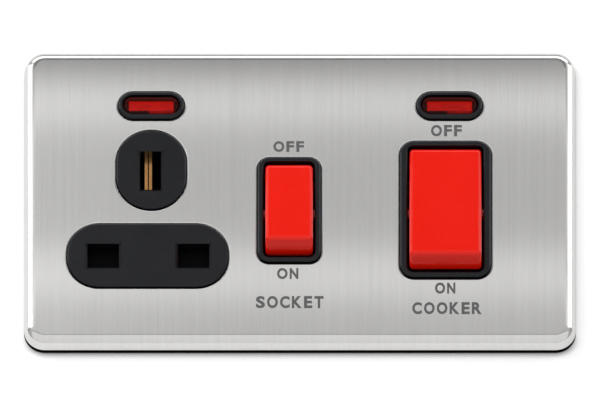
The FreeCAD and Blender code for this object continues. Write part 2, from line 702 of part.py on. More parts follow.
def terminal(x, z0, y0):
    """A brass clamp terminal with a vertical wire hole and a threaded hole from the back."""
    block = box(x - TERMINAL_W / 2, x + TERMINAL_W / 2, y0, y0 + TERMINAL_D, z0, z0 + TERMINAL_H)
    block = block.makeFillet(TERMINAL_EDGE_R, block.Edges)
    wire_y = y0 + WIRE_HOLE_R + TERMINAL_WALL
    block = block.cut(rod((0, 0, 1), (x, wire_y, z0 - 1), WIRE_HOLE_R, TERMINAL_H + 2))
    screw = rod((0, 1, 0), (x, wire_y, z0 + TERMINAL_H / 2), SCREW_R + SCREW_GAP, TERMINAL_D)
    return block.cut(screw)


def clamp_screw(x, z, y0, y1, radius):
    """A slotted clamp screw along Y, from its tip at y0 to its head's outer face at y1."""
    shank = rod((0, 1, 0), (x, y0, z), radius, y1 - y0 - SCREW_HEAD_H / 2)
    head = rod((0, 1, 0), (x, y1 - SCREW_HEAD_H, z), SCREW_HEAD_R, SCREW_HEAD_H)
    slot = box(x - SCREW_HEAD_R, x + SCREW_HEAD_R, y1 - SCREW_SLOT_DEEP, y1 + 1,
               z - SCREW_SLOT_W / 2, z + SCREW_SLOT_W / 2)
    return shank.fuse(head).removeSplitter().cut(slot)


def main_screws():
    """The four clamp screws of the cooker switch, backed off clear of the wire holes."""
    tip = STRAP_BACK_Y + 2 * WIRE_HOLE_R + TERMINAL_WALL + SCREW_BACKED_OFF
    end = BASE_FLOOR_Y + SCREW_OUT
    return [clamp_screw(x, z + TERMINAL_H / 2, tip, end, SCREW_R)
            for x in POLES_X for z in (SUPPLY_Z, LOAD_Z)]


def shutter():
    """The safety shutter: a cover over two holes and a forked ramp either side of the earth leaves."""
    cover = PIN_HOLE_H / 2 + SHUTTER_COVER
    plate = slab(SOCKET_X, PIN_HOLE_Z, SHUTTER_W, 2 * cover, SHUTTER_CORNER_R, SHUTTER_FRONT_Y,
                 SHUTTER_BACK_Y)
    fork_low = EARTH_LEAF_LOW - SHUTTER_CLEAR
    half = SHUTTER_STEM_W / 2
    stem = box(SOCKET_X - half, SOCKET_X + half, SHUTTER_FRONT_Y, SHUTTER_BACK_Y,
               PIN_HOLE_Z + cover / 2, fork_low)
    ramp_top = EARTH_Z - EARTH_PIN_H / 2 - SHUTTER_CLEAR + SHUTTER_TRAVEL
    ramp_back = SHUTTER_FRONT_Y + SHUTTER_RAMP
    corners = [(SHUTTER_FRONT_Y, fork_low - SHUTTER_HEEL), (SHUTTER_FRONT_Y, fork_low),
               (ramp_back, ramp_top), (ramp_back, fork_low - SHUTTER_HEEL)]
    ramp = profile_x(corners, SOCKET_X - SHUTTER_RAMP_W / 2, SOCKET_X + SHUTTER_RAMP_W / 2)
    half = CONTACT_SHEET + EARTH_NIP + FIT_GAP
    slot = box(SOCKET_X - half, SOCKET_X + half, SHUTTER_FRONT_Y - 1, ramp_back + 1,
               fork_low - FIT_GAP, ramp_top + 1)
    half = SHUTTER_FOOT_W / 2
    foot = box(SOCKET_X - half, SOCKET_X + half, SHUTTER_FRONT_Y, SHUTTER_FRONT_Y + SHUTTER_FOOT_D,
               PIN_HOLE_Z - cover, PIN_HOLE_Z - cover + SHUTTER_FOOT_H)
    return joined([plate, stem, ramp, foot]).cut(slot)


def shutter_spring():
    """The spring under the shutter's foot."""
    low = SPRING_SEAT_GAP - INNER_TOP
    high = PIN_HOLE_Z - PIN_HOLE_H / 2 - SHUTTER_COVER - SPRING_SEAT_GAP
    return coil((SOCKET_X, SHUTTER_FRONT_Y + SHUTTER_FOOT_D / 2, low), 0, high - low,
                SHUTTER_SPRING_R, SHUTTER_SPRING_TURNS)


def folded_pair(start_y, start_gap, turns, sheet):
    """The (y, gap) outline of two mirrored leaves joined by a web, from one leaf's inner line.

    The leaf's inner line runs forward from the web at start_y. Each turn is a (y, gap) point, and
    the outer line lies one sheet further out.
    """
    inner = [(start_y - sheet, start_gap)] + turns
    outer = [(start_y, start_gap + sheet)] + [(y, gap + sheet) for y, gap in turns]
    upper = outer + inner[::-1]
    lower = [(y, -gap) for y, gap in upper[::-1]]
    return upper + lower


def pin_contact(x, back):
    """A folded pin socket: two leaves above and below the pin, flared at the mouth."""
    grip = PIN_H / 2 - CONTACT_NIP
    mouth = SHUTTER_BACK_Y + CONTACT_FROM_SHUTTER
    belly = grip + CONTACT_BELLY
    turns = [(back - CONTACT_HEEL, belly), (mouth + CONTACT_LIP, grip), (mouth, grip + CONTACT_FLARE)]
    corners = [(y, PIN_Z + gap) for y, gap in folded_pair(back, belly, turns, CONTACT_SHEET)]
    return profile_x(corners, x - CONTACT_W / 2, x + CONTACT_W / 2)


def earth_contact():
    """The earth socket: two upright leaves, pinched at the mouth, on a web at the back."""
    pinch_end = SHUTTER_FRONT_Y + SHUTTER_RAMP + SHUTTER_CLEAR
    turns = [(pinch_end + EARTH_TAPER, EARTH_BELLY), (pinch_end, EARTH_NIP),
             (FLANGE_BACK_Y, EARTH_NIP)]
    corners = [Vector(SOCKET_X + gap, y, EARTH_LEAF_LOW)
               for y, gap in folded_pair(EARTH_STRAP_Y, EARTH_BELLY, turns, CONTACT_SHEET)]
    wire = Part.makePolygon(corners + corners[:1])
    return Part.Face(wire).extrude(Vector(0, 0, EARTH_LEAF_H))


def earth_strap():
    """The strap from the earth socket down and across to the earth terminal."""
    half = EARTH_STRAP_W / 2
    upright = box(SOCKET_X - half, SOCKET_X + half, EARTH_STRAP_Y, EARTH_STRAP_BACK_Y,
                  EARTH_STRAP_LOW, EARTH_LEAF_LOW + EARTH_LEAF_H)
    across = box(SOCKET_X - half, EARTH_BLOCK_X + EARTH_BLOCK_W / 2, EARTH_STRAP_Y,
                 EARTH_STRAP_BACK_Y, EARTH_STRAP_LOW, EARTH_STRAP_LOW + EARTH_STRAP_W)
    return joined([upright, across])


def earth_wires():
    """The x places of the earth terminal's wire holes."""
    return [EARTH_BLOCK_X - EARTH_WIRE_PITCH / 2, EARTH_BLOCK_X + EARTH_WIRE_PITCH / 2]


def earth_terminal():
    """The earth terminal: one brass bar with two wire holes, open downwards."""
    y0 = EARTH_STRAP_BACK_Y
    bar = box(EARTH_BLOCK_X - EARTH_BLOCK_W / 2, EARTH_BLOCK_X + EARTH_BLOCK_W / 2,
              y0, y0 + EARTH_BLOCK_D, LOAD_Z, LOAD_Z + TERMINAL_H)
    bar = bar.makeFillet(TERMINAL_EDGE_R, bar.Edges)
    wire_y = y0 + EARTH_WIRE_R + EARTH_BLOCK_WALL
    for x in earth_wires():
        bar = bar.cut(rod((0, 0, 1), (x, wire_y, LOAD_Z - 1), EARTH_WIRE_R, TERMINAL_H + 2))
        bar = bar.cut(rod((0, 1, 0), (x, wire_y, LOAD_Z + TERMINAL_H / 2),
                          EARTH_SCREW_R + SCREW_GAP, EARTH_BLOCK_D))
    return bar


def earth_screws():
    """The clamp screws of the earth terminal."""
    tip = EARTH_STRAP_BACK_Y + 2 * EARTH_WIRE_R + EARTH_BLOCK_WALL + SCREW_BACKED_OFF
    end = BASE_FLOOR_Y + SCREW_OUT
    return [clamp_screw(x, LOAD_Z + TERMINAL_H / 2, tip, end, EARTH_SCREW_R)
            for x in earth_wires()]


def earth_tab():
    """The bent tab that bonds the earth strap to a pocket in the frame's rear face."""
    t = CONTACT_SHEET
    under = -BODY_TOP - FIT_GAP
    foot = under - EARTH_TAB_FOOT
    top = LOAD_Z + EARTH_TAB_UP
    front = EARTH_STRAP_Y - t
    corners = [(-t, foot), (-t, under), (front, under), (front, top), (front + t, top),
               (front + t, under - t), (0, under - t), (0, foot)]
    x = EARTH_BLOCK_X
    return profile_x(corners, x - EARTH_TAB_W / 2, x + EARTH_TAB_W / 2)


def line_link():
    """The bar that feeds the socket switch from the live supply."""
    return box(SMALL_X - STRAP_W / 2, POLES["line"] + STRAP_W / 2, STRAP_BACK_Y,
               STRAP_BACK_Y + LINK_T, LINE_LINK_Z, LINE_LINK_Z + LINK_W)


def neutral_link():
    """The bar from the neutral supply across and down to the neutral pin socket."""
    x0 = PIN_X[0] - LINK_W / 2
    x1 = POLES["neutral"] + STRAP_W / 2
    z0 = NEUTRAL_LINK_Z
    across = box(x0, x1, NEUTRAL_LINK_Y, NEUTRAL_LINK_BACK_Y, z0, z0 + LINK_W)
    down = box(x0, x0 + LINK_W, NEUTRAL_LINK_Y, NEUTRAL_LINK_BACK_Y, PIN_Z - LINK_W / 2, z0 + LINK_W)
    post = rod((0, 1, 0), (POLES["neutral"], STRAP_BACK_Y, z0 + LINK_W / 2), LINK_POST_R, LINK_SPACE)
    return joined([across, down, post])


def socket_pivot_strap():
    """The strap under the small switch's see-saw, running down and across to the live socket."""
    x = SMALL_X
    low = PIN_Z - LINK_W / 2
    across = box(PIN_X[1] - LINK_W / 2, x + STRAP_W / 2, STRAP_Y, STRAP_BACK_Y, low, low + LINK_W)
    upright = box(x - STRAP_W / 2, x + STRAP_W / 2, STRAP_Y, STRAP_BACK_Y, low, SMALL_Z + STRAP_PAST)
    return joined([upright, across] + fulcrum(x, SMALL_Z))


def base_shell(left):
    """A rear base before its openings: a deep box that meets its front moulding."""
    x0, x1 = module_edges(left)
    side = -1 if left else 1
    body = box(x0, x1, JOIN_Y, BASE_BACK_Y, -BODY_TOP, BODY_TOP).cut(lug_notch(side))
    rear_edges = [edge for edge in body.Edges
                  if abs(edge.BoundBox.YMin - BASE_BACK_Y) < 1e-4 and edge.Length > 3]
    body = body.makeFillet(BASE_EDGE_R, rear_edges)
    hollow = box(x0 + MOULD_WALL, x1 - MOULD_WALL, JOIN_Y - 1, BASE_FLOOR_Y, -INNER_TOP, INNER_TOP)
    body = body.cut(hollow.cut(lug_notch(side, MOULD_WALL)))
    bosses = [rod((0, 1, 0), (x, JOIN_Y, z), BASE_BOSS_R, BASE_BACK_Y - JOIN_Y - 1)
              for x, z in base_screw_places(left)]
    return body.multiFuse(bosses)


def base_screw_holes(left):
    """The through holes and head pockets of a base's corner screws."""
    cuts = []
    for x, z in base_screw_places(left):
        cuts.append(rod((0, 1, 0), (x, JOIN_Y - 1, z), BASE_SCREW_R + SCREW_GAP, BASE_DEPTH))
        cuts.append(rod((0, 1, 0), (x, BASE_BACK_Y - BASE_HEAD_SUNK, z), BASE_HEAD_R + FIT_GAP,
                        BASE_HEAD_SUNK + 1))
    return cuts


def rib(x, z0, z1, y, thick=RIB_T):
    """An upright rib that stands on the base's floor and reaches forward to y."""
    return box(x - thick / 2, x + thick / 2, y, BASE_FLOOR_Y + MOULD_WALL / 2, z0, z1)


def socket_base():
    """The rear base behind the socket, with ribs under its straps and slots for the links."""
    body = base_shell(True)
    wall = INNER_TOP + MOULD_WALL / 2
    between_x = (SOCKET_X + EARTH_BLOCK_X) / 2
    ribs = [
        rib(SMALL_X, PIN_Z, SMALL_Z + SEESAW_ARM, STRAP_BACK_Y),
        rib(SMALL_X, NEUTRAL_LINK_Z + LINK_W + 1, wall, STRAP_BACK_Y),
        rib(PIN_X[1], PIN_Z - LINK_W, PIN_Z + LINK_W, STRAP_BACK_Y),
        rib(PIN_X[0], PIN_Z - LINK_W, PIN_Z + LINK_W, NEUTRAL_LINK_BACK_Y),
        rib(SOCKET_X, PIN_Z - LINK_W, EARTH_LEAF_LOW + EARTH_LEAF_H, EARTH_STRAP_BACK_Y),
        rib(between_x, -wall, EARTH_STRAP_LOW + EARTH_STRAP_W + 1, EARTH_STRAP_BACK_Y),
        rib(between_x, NEUTRAL_LINK_Z - 1, wall, NEUTRAL_LINK_BACK_Y),
    ]
    body = body.multiFuse(ribs)
    cuts = base_screw_holes(True)
    gap = FIT_GAP
    right = (SOCKET_RIGHT - MOULD_WALL - 1, SOCKET_RIGHT + 1)
    cuts.append(box(right[0], right[1], JOIN_Y - 1, STRAP_BACK_Y + LINK_T + gap,
                    LINE_LINK_Z - gap, LINE_LINK_Z + LINK_W + gap))
    cuts.append(box(right[0], right[1], JOIN_Y - 1, NEUTRAL_LINK_BACK_Y + gap,
                    NEUTRAL_LINK_Z - gap, NEUTRAL_LINK_Z + LINK_W + gap))
    half = EARTH_BLOCK_W / 2 + gap
    cuts.append(box(EARTH_BLOCK_X - half, EARTH_BLOCK_X + half, EARTH_STRAP_Y - CONTACT_SHEET - gap,
                    EARTH_STRAP_BACK_Y + EARTH_BLOCK_D + gap, -BODY_TOP - 1, -INNER_TOP + 0.5))
    for x in earth_wires():
        cuts.append(rod((0, 1, 0), (x, BASE_FLOOR_Y - 1, LOAD_Z + TERMINAL_H / 2),
                        SCREW_HEAD_R + gap, MOULD_WALL + 2))
    return body.cut(cuts).removeSplitter()


def cooker_base():
    """The rear base behind the cooker switch, open above and below for the supply and load wires."""
    body = base_shell(False)
    wall = INNER_TOP + MOULD_WALL / 2
    ribs = [rib(BIG_X, -wall, wall, SEESAW_Y, DIVIDER_T)]
    for x in POLES_X:
        ribs.append(rib(x, PIN_Z, BIG_Z + SEESAW_ARM, STRAP_BACK_Y))
        for z in (SUPPLY_Z, LOAD_Z):
            ribs.append(box(x - TERMINAL_W / 2, x + TERMINAL_W / 2, STRAP_BACK_Y + TERMINAL_D,
                            BASE_FLOOR_Y + MOULD_WALL / 2, z + TERMINAL_EDGE_R,
                            z + TERMINAL_H - TERMINAL_EDGE_R))
    body = body.multiFuse(ribs)
    cuts = base_screw_holes(False)
    gap = FIT_GAP
    left = (COOKER_LEFT - 1, COOKER_LEFT + MOULD_WALL + 1)
    cuts.append(box(left[0], left[1], JOIN_Y - 1, STRAP_BACK_Y + LINK_T + gap,
                    LINE_LINK_Z - gap, LINE_LINK_Z + LINK_W + gap))
    cuts.append(box(left[0], left[1], JOIN_Y - 1, NEUTRAL_LINK_BACK_Y + gap,
                    NEUTRAL_LINK_Z - gap, NEUTRAL_LINK_Z + LINK_W + gap))
    link_far = POLES["neutral"] + STRAP_W / 2 + gap
    cuts.append(box(COOKER_LEFT + MOULD_WALL, link_far, SEESAW_Y - 1, NEUTRAL_LINK_BACK_Y + gap,
                    NEUTRAL_LINK_Z - gap, NEUTRAL_LINK_Z + LINK_W + gap))
    for x in POLES_X:
        for z in (SUPPLY_Z, LOAD_Z):
            half = TERMINAL_W / 2 + gap
            low = -BODY_TOP - 1 if z < 0 else INNER_TOP - 0.5
            high = -INNER_TOP + 0.5 if z < 0 else BODY_TOP + 1
            cuts.append(box(x - half, x + half, STRAP_Y - gap,
                            STRAP_BACK_Y + TERMINAL_D + gap, low, high))
            cuts.append(rod((0, 1, 0), (x, STRAP_BACK_Y, z + TERMINAL_H / 2),
                            SCREW_HEAD_R + gap, BASE_DEPTH))
    return body.cut(cuts).removeSplitter()


def module_screws():
    """The countersunk screws that hold the mouldings to the frame."""
    screws = []
    for left in (True, False):
        for x, z in module_screw_places(left):
            sink = MODULE_HEAD_R - MODULE_SCREW_R
            face = FLANGE_FRONT_Y + SCREW_GAP
            head = Part.makeCone(MODULE_HEAD_R, MODULE_SCREW_R, sink, Vector(x, face, z),
                                 Vector(0, 1, 0))
            shank = rod((0, 1, 0), (x, face + sink / 2, z), MODULE_SCREW_R - THREAD_GAP,
                        FLANGE_T - sink / 2 + FRAME_WALL - SCREW_GAP)
            cross = box(x - MODULE_HEAD_R, x + MODULE_HEAD_R, face - 1, face + MODULE_SLOT_DEEP,
                        z - MODULE_SLOT_W / 2, z + MODULE_SLOT_W / 2)
            screws.append(head.fuse(shank).removeSplitter().cut(cross))
    return screws


def base_screws():
    """The screws that hold each base to its front moulding, from behind."""
    screws = []
    for left in (True, False):
        for x, z in base_screw_places(left):
            head_y = BASE_BACK_Y - BASE_HEAD_SUNK
            back = head_y + BASE_HEAD_H
            head = rod((0, 1, 0), (x, head_y, z), BASE_HEAD_R, BASE_HEAD_H)
            tip = JOIN_Y - BASE_HOLE_DEEP + FIT_GAP
            shank = rod((0, 1, 0), (x, tip, z), BASE_SCREW_R - THREAD_GAP, head_y - tip + BASE_HEAD_H / 2)
            slot = box(x - BASE_HEAD_R, x + BASE_HEAD_R, back - BASE_SLOT_DEEP, back + 1,
                       z - BASE_SLOT_W / 2, z + BASE_SLOT_W / 2)
            screws.append(head.fuse(shank).removeSplitter().cut(slot))
    return screws


def neon_bezel(cx):
    """The black surround of a neon, with a rolled front edge."""
    ring = slab(cx, NEON_Z, NEON_W, NEON_H, PLATE_H, NEON_Y, FLANGE_FRONT_Y)
    ring = round_front(ring, NEON_Y, NEON_EDGE_R)
    inner = slab(cx, NEON_Z, NEON_LENS_W + 2 * LENS_GAP, NEON_LENS_H + 2 * LENS_GAP, PLATE_H,
                 NEON_Y - 1, FLANGE_FRONT_Y + 1)
    return ring.cut(inner)


def neon_lens(cx):
    """The red lens: an obround cap with a domed face, hollow behind where the lamp shines in."""
    face = NEON_Y + LENS_IN
    lens = slab(cx, NEON_Z, NEON_LENS_W, NEON_LENS_H, PLATE_H, face, LENS_BACK_Y)
    lens = lens.makeFillet(LENS_EDGE_R, edges_at(lens, face))
    half_w = LENS_POCKET_W / 2
    half_h = LENS_POCKET_H / 2
    pocket = box(cx - half_w, cx + half_w, face + LENS_FRONT_T, LENS_BACK_Y + 1,
                 NEON_Z - half_h, NEON_Z + half_h)
    return lens.cut(pocket)


def neon_lamp(cx):
    """The glass lamp with round ends, along X."""
    body = rod((1, 0, 0), (cx - LAMP_LEN / 2, LAMP_Y, NEON_Z), LAMP_R, LAMP_LEN)
    return body.makeFillet(LAMP_END_R, body.Edges)


def resistor(start, axis):
    """A small resistor with slightly swollen ends, from start along axis."""
    start = Vector(*start)
    axis = Vector(*axis)
    core = Part.makeCylinder(RESISTOR_R * RESISTOR_NECK, RESISTOR_LEN, start, axis)
    ends = [Part.makeCylinder(RESISTOR_R, RESISTOR_END, start + axis * step, axis)
            for step in (0, RESISTOR_LEN - RESISTOR_END)]
    return joined([core] + ends)


def wire(points):
    """A round wire along straight runs joined by tangent arcs."""
    places = [Vector(*point) for point in points]
    edges = []
    start = places[0]
    for i in range(1, len(places) - 1):
        corner = places[i]
        before = (places[i - 1] - corner).normalize()
        after = (places[i + 1] - corner).normalize()
        half_turn = (math.pi - before.getAngle(after)) / 2
        back = LEAD_BEND * math.tan(half_turn)
        enter = corner + before * back
        leave = corner + after * back
        middle = (before + after).normalize()
        arc_mid = corner + middle * (LEAD_BEND / math.cos(half_turn) - LEAD_BEND)
        edges.append(Part.makeLine(start, enter))
        edges.append(Part.Arc(enter, arc_mid, leave).toShape())
        start = leave
    edges.append(Part.makeLine(start, places[-1]))
    path = Part.Wire(edges)
    direction = places[1] - places[0]
    section = Part.Wire(Part.makeCircle(LEAD_R, places[0], direction))
    tube = path.makePipeShell([section], True, True)
    return tube.Solids[0] if tube.Solids else Part.Solid(tube)


def socket_leads():
    """The bare leads of the socket's neon: to its resistor, the switch strap and the neutral bar."""
    y = LAMP_Y
    left = NEON_X[0] - LAMP_LEN / 2
    right = NEON_X[0] + LAMP_LEN / 2
    far = SOCKET_RESISTOR[0]
    strap_z = NEON_Z - LEAD_DROP
    bar_z = NEUTRAL_LINK_Z + LINK_W / 2
    return [
        wire([(right, y, NEON_Z), (far, y, NEON_Z)]),
        wire([(far + RESISTOR_LEN, y, NEON_Z), (SMALL_X, y, NEON_Z), (SMALL_X, y, strap_z),
              (SMALL_X, STRAP_Y, strap_z)]),
        wire([(left, y, NEON_Z), (PIN_X[0], y, NEON_Z), (PIN_X[0], y, bar_z),
              (PIN_X[0], NEUTRAL_LINK_Y, bar_z)]),
    ]


def cooker_leads():
    """The bare leads of the cooker's neon: to its resistor and to the two load straps."""
    y = LAMP_Y
    left = NEON_X[1] - LAMP_LEN / 2
    right = NEON_X[1] + LAMP_LEN / 2
    low = LOAD_Z + LEAD_LOW
    side_l = COOKER_RESISTOR[0]
    side_r = 2 * BIG_X - side_l
    line = POLES["line"]
    neutral = POLES["neutral"]
    resistor_top = COOKER_RESISTOR[2]
    return [
        wire([(left, y, NEON_Z), (side_l, y, NEON_Z), (side_l, y, resistor_top)]),
        wire([(side_l, y, resistor_top - RESISTOR_LEN), (side_l, y, low),
              (side_l, y + LEAD_BACK, low), (line, y + LEAD_BACK, low), (line, STRAP_Y, low)]),
        wire([(right, y, NEON_Z), (side_r, y, NEON_Z), (side_r, y, low), (side_r, y + LEAD_BACK, low),
              (neutral, y + LEAD_BACK, low), (neutral, STRAP_Y, low)]),
    ]


def main():
    os.makedirs("parts", exist_ok=True)
    export("front_plate", front_plate())
    export("support_frame", support_frame())
    export("socket_front", socket_front())
    export("cooker_front", cooker_front())
    export("socket_base", socket_base())
    export("cooker_base", cooker_base())
    export("socket_rocker", rocker(SMALL_X, SMALL_Z, SMALL_ROCKER_W, SMALL_ROCKER_R, [SMALL_X]))
    export("cooker_rocker", rocker(BIG_X, BIG_Z, BIG_ROCKER_W, BIG_ROCKER_R, POLES_X))

    switches = {"socket": (SMALL_X, SMALL_Z), "line": (POLES["line"], BIG_Z),
                "neutral": (POLES["neutral"], BIG_Z)}
    for name, (x, z) in switches.items():
        export(name + "_plunger", plunger(x, z))
        export(name + "_plunger_spring", plunger_spring(x, z))
        export(name + "_seesaw", seesaw(x, z))
        export(name + "_moving_tip", moving_tip(x, z))
    export("fixed_tips", [fixed_tip(x, z) for x, z in switches.values()])
    export("socket_fixed_strap", fixed_strap(SMALL_X, SMALL_Z, SOCKET_STRAP_TOP))
    export("socket_pivot_strap", socket_pivot_strap())
    for name, x in POLES.items():
        export(name + "_fixed_strap", fixed_strap(x, BIG_Z, BODY_TOP - STRAP_END_GAP))
        export(name + "_pivot_strap", pivot_strap(x, BIG_Z, LOAD_Z + STRAP_END_GAP))
        export(name + "_supply_terminal", terminal(x, SUPPLY_Z, STRAP_BACK_Y))
        export(name + "_load_terminal", terminal(x, LOAD_Z, STRAP_BACK_Y))
    export("main_terminal_screws", main_screws())
    export("line_link", line_link())
    export("neutral_link", neutral_link())

    export("shutter", shutter())
    export("shutter_spring", shutter_spring())
    export("line_contact", pin_contact(PIN_X[1], STRAP_Y))
    export("neutral_contact", pin_contact(PIN_X[0], NEUTRAL_LINK_Y))
    export("earth_contact", earth_contact())
    export("earth_strap", earth_strap())
    export("earth_terminal", earth_terminal())
    export("earth_terminal_screws", earth_screws())
    export("earth_tab", earth_tab())

    lead_sets = (socket_leads, cooker_leads)
    resistors = (resistor(SOCKET_RESISTOR, (1, 0, 0)), resistor(COOKER_RESISTOR, (0, 0, -1)))
    for i, name in enumerate(("socket", "cooker")):
        export(name + "_neon_bezel", neon_bezel(NEON_X[i]))
        export(name + "_neon_lens", neon_lens(NEON_X[i]))
        export(name + "_neon_lamp", neon_lamp(NEON_X[i]))
        export(name + "_neon_resistor", resistors[i])
        export(name + "_neon_leads", lead_sets[i]())
    export("module_screws", module_screws())
    export("base_screws", base_screws())


main()
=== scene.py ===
# %% [markdown]
# # A cooker control unit, dressed over its CAD frame
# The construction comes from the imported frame: every piece is already at its real size and place.
# This lesson gives the pieces their finishes, models the skins that catch the light, adds the
# printed words, and sets the camera and the light.

# %% Load the frame
import json
import math

import bmesh
import bpy
import numpy as np
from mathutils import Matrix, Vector
from mathutils.geometry import tessellate_polygon


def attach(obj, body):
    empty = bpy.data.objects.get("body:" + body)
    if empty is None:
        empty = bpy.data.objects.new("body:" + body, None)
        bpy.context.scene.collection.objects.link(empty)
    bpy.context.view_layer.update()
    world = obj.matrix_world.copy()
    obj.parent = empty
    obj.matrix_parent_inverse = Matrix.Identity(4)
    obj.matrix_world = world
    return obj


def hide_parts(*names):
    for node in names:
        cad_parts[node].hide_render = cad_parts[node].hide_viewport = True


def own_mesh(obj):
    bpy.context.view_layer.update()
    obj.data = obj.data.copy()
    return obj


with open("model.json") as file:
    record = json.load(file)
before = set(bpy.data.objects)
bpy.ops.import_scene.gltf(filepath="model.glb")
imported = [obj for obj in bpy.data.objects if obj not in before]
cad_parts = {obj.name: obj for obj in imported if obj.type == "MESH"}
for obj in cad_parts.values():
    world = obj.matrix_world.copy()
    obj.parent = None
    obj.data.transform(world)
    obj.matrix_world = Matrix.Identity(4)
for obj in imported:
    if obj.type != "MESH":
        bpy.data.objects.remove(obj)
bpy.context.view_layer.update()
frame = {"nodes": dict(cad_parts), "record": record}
nodes = frame["nodes"]
record = frame["record"]
slot_of = {part["node"]: part["material_slot"] for part in record["subparts"]}
body_of = {node: body for body, held in record["behaviour"]["bodies"].items() for node in held}
MM = 0.001

# %% [markdown]
# ## Surfaces from outlines and profiles
# Most visible skins here are one idea: a rounded outline in the XZ plane, offset inwards or outwards
# and moved in depth, ring by ring. The rings form a grid, and the grid becomes quads.

# %% Outlines and rings
CORNER_STEPS = 24
# The plate's half width and half height, and the distance within which points are one, in metres.
HALF_W, HALF_H = 0.073, 0.043
SAME_PLACE = 1e-7
# A face is flat from this share of its normal along Y, and an edge sharp from this turn.
STRAIGHT = 0.99999
SHARP_TURN = math.radians(32)


def ring(cx, cz, width, height, radius, inset, y):
    """One closed ring, as an array of points in millimetres: a rectangle with round corners.

    Each corner is a quarter circle of radius minus inset, about a centre that the inset leaves
    where it is. A negative inset makes the ring larger.
    """
    radius = min(radius, width / 2, height / 2)
    turn = np.linspace(0, math.pi / 2, CORNER_STEPS)
    quarter = np.arange(4)[:, None] * math.pi / 2
    angle = (quarter + turn[None, :]).ravel()
    side_x = np.repeat([1, -1, -1, 1], CORNER_STEPS) * (width / 2 - radius)
    side_z = np.repeat([1, 1, -1, -1], CORNER_STEPS) * (height / 2 - radius)
    bend = max(radius - inset, 0.0)
    x = cx + side_x + bend * np.cos(angle)
    z = cz + side_z + bend * np.sin(angle)
    return np.stack([x, np.full_like(x, y), z], axis=1)


def arc_profile(start, end, centre, steps=9):
    """Points (inset, y) on an arc about centre, from start to end the short way."""
    first = math.atan2(start[1] - centre[1], start[0] - centre[0])
    last = math.atan2(end[1] - centre[1], end[0] - centre[0])
    if last - first > math.pi:
        last -= 2 * math.pi
    if first - last > math.pi:
        last += 2 * math.pi
    radius = math.hypot(start[0] - centre[0], start[1] - centre[1])
    angle = np.linspace(first, last, steps)
    return [(centre[0] + radius * math.cos(a), centre[1] + radius * math.sin(a)) for a in angle]


def sweep(shape, profile):
    """A grid of points: one ring for each (inset, y) of the profile."""
    return np.stack([ring(*shape, inset, y) for inset, y in profile])


def points_of(mesh):
    """A mesh's points in metres, one row each."""
    flat = np.zeros(len(mesh.vertices) * 3)
    mesh.vertices.foreach_get("co", flat)
    return flat.reshape(-1, 3)


def linked(name, data):
    """A new object in the scene for a mesh, a curve, a lamp or a camera."""
    holder = bpy.data.objects.new(name, data)
    bpy.context.scene.collection.objects.link(holder)
    return holder


def lay_uv(mesh):
    """A UV map in metres, U across and V up the front.

    U = x (1 - y / HALF_W) and V = z (1 - y / HALF_H). The factors carry it on down the sides, where
    y changes and x or z stands still.
    """
    x, y, z = points_of(mesh).T
    corner = np.zeros(len(mesh.loops), int)
    mesh.loops.foreach_get("vertex_index", corner)
    spot = np.stack([x * (1 - y / HALF_W), z * (1 - y / HALF_H)], axis=1)[corner]
    mesh.uv_layers.new(name="brushing").data.foreach_set("uv", spot.ravel())


def part_flats(mesh):
    """Parts the faces that look straight to the front or back from the bends beside them.

    An edge is made sharp where the least flatness of its faces is 0 and the greatest is 1.
    """
    normals = np.zeros(len(mesh.polygons) * 3)
    mesh.polygons.foreach_get("normal", normals)
    corners = np.zeros(len(mesh.polygons), int)
    mesh.polygons.foreach_get("loop_total", corners)
    edge = np.zeros(len(mesh.loops), int)
    mesh.loops.foreach_get("edge_index", edge)
    flat = np.repeat(np.abs(normals.reshape(-1, 3)[:, 1]) > STRAIGHT, corners).astype(int)
    least, greatest = np.ones(len(mesh.edges), int), np.zeros(len(mesh.edges), int)
    np.minimum.at(least, edge, flat)
    np.maximum.at(greatest, edge, flat)
    sharp = np.zeros(len(mesh.edges), bool)
    mesh.edges.foreach_get("use_edge_sharp", sharp)
    mesh.edges.foreach_set("use_edge_sharp", sharp | ((least == 0) & (greatest == 1)))


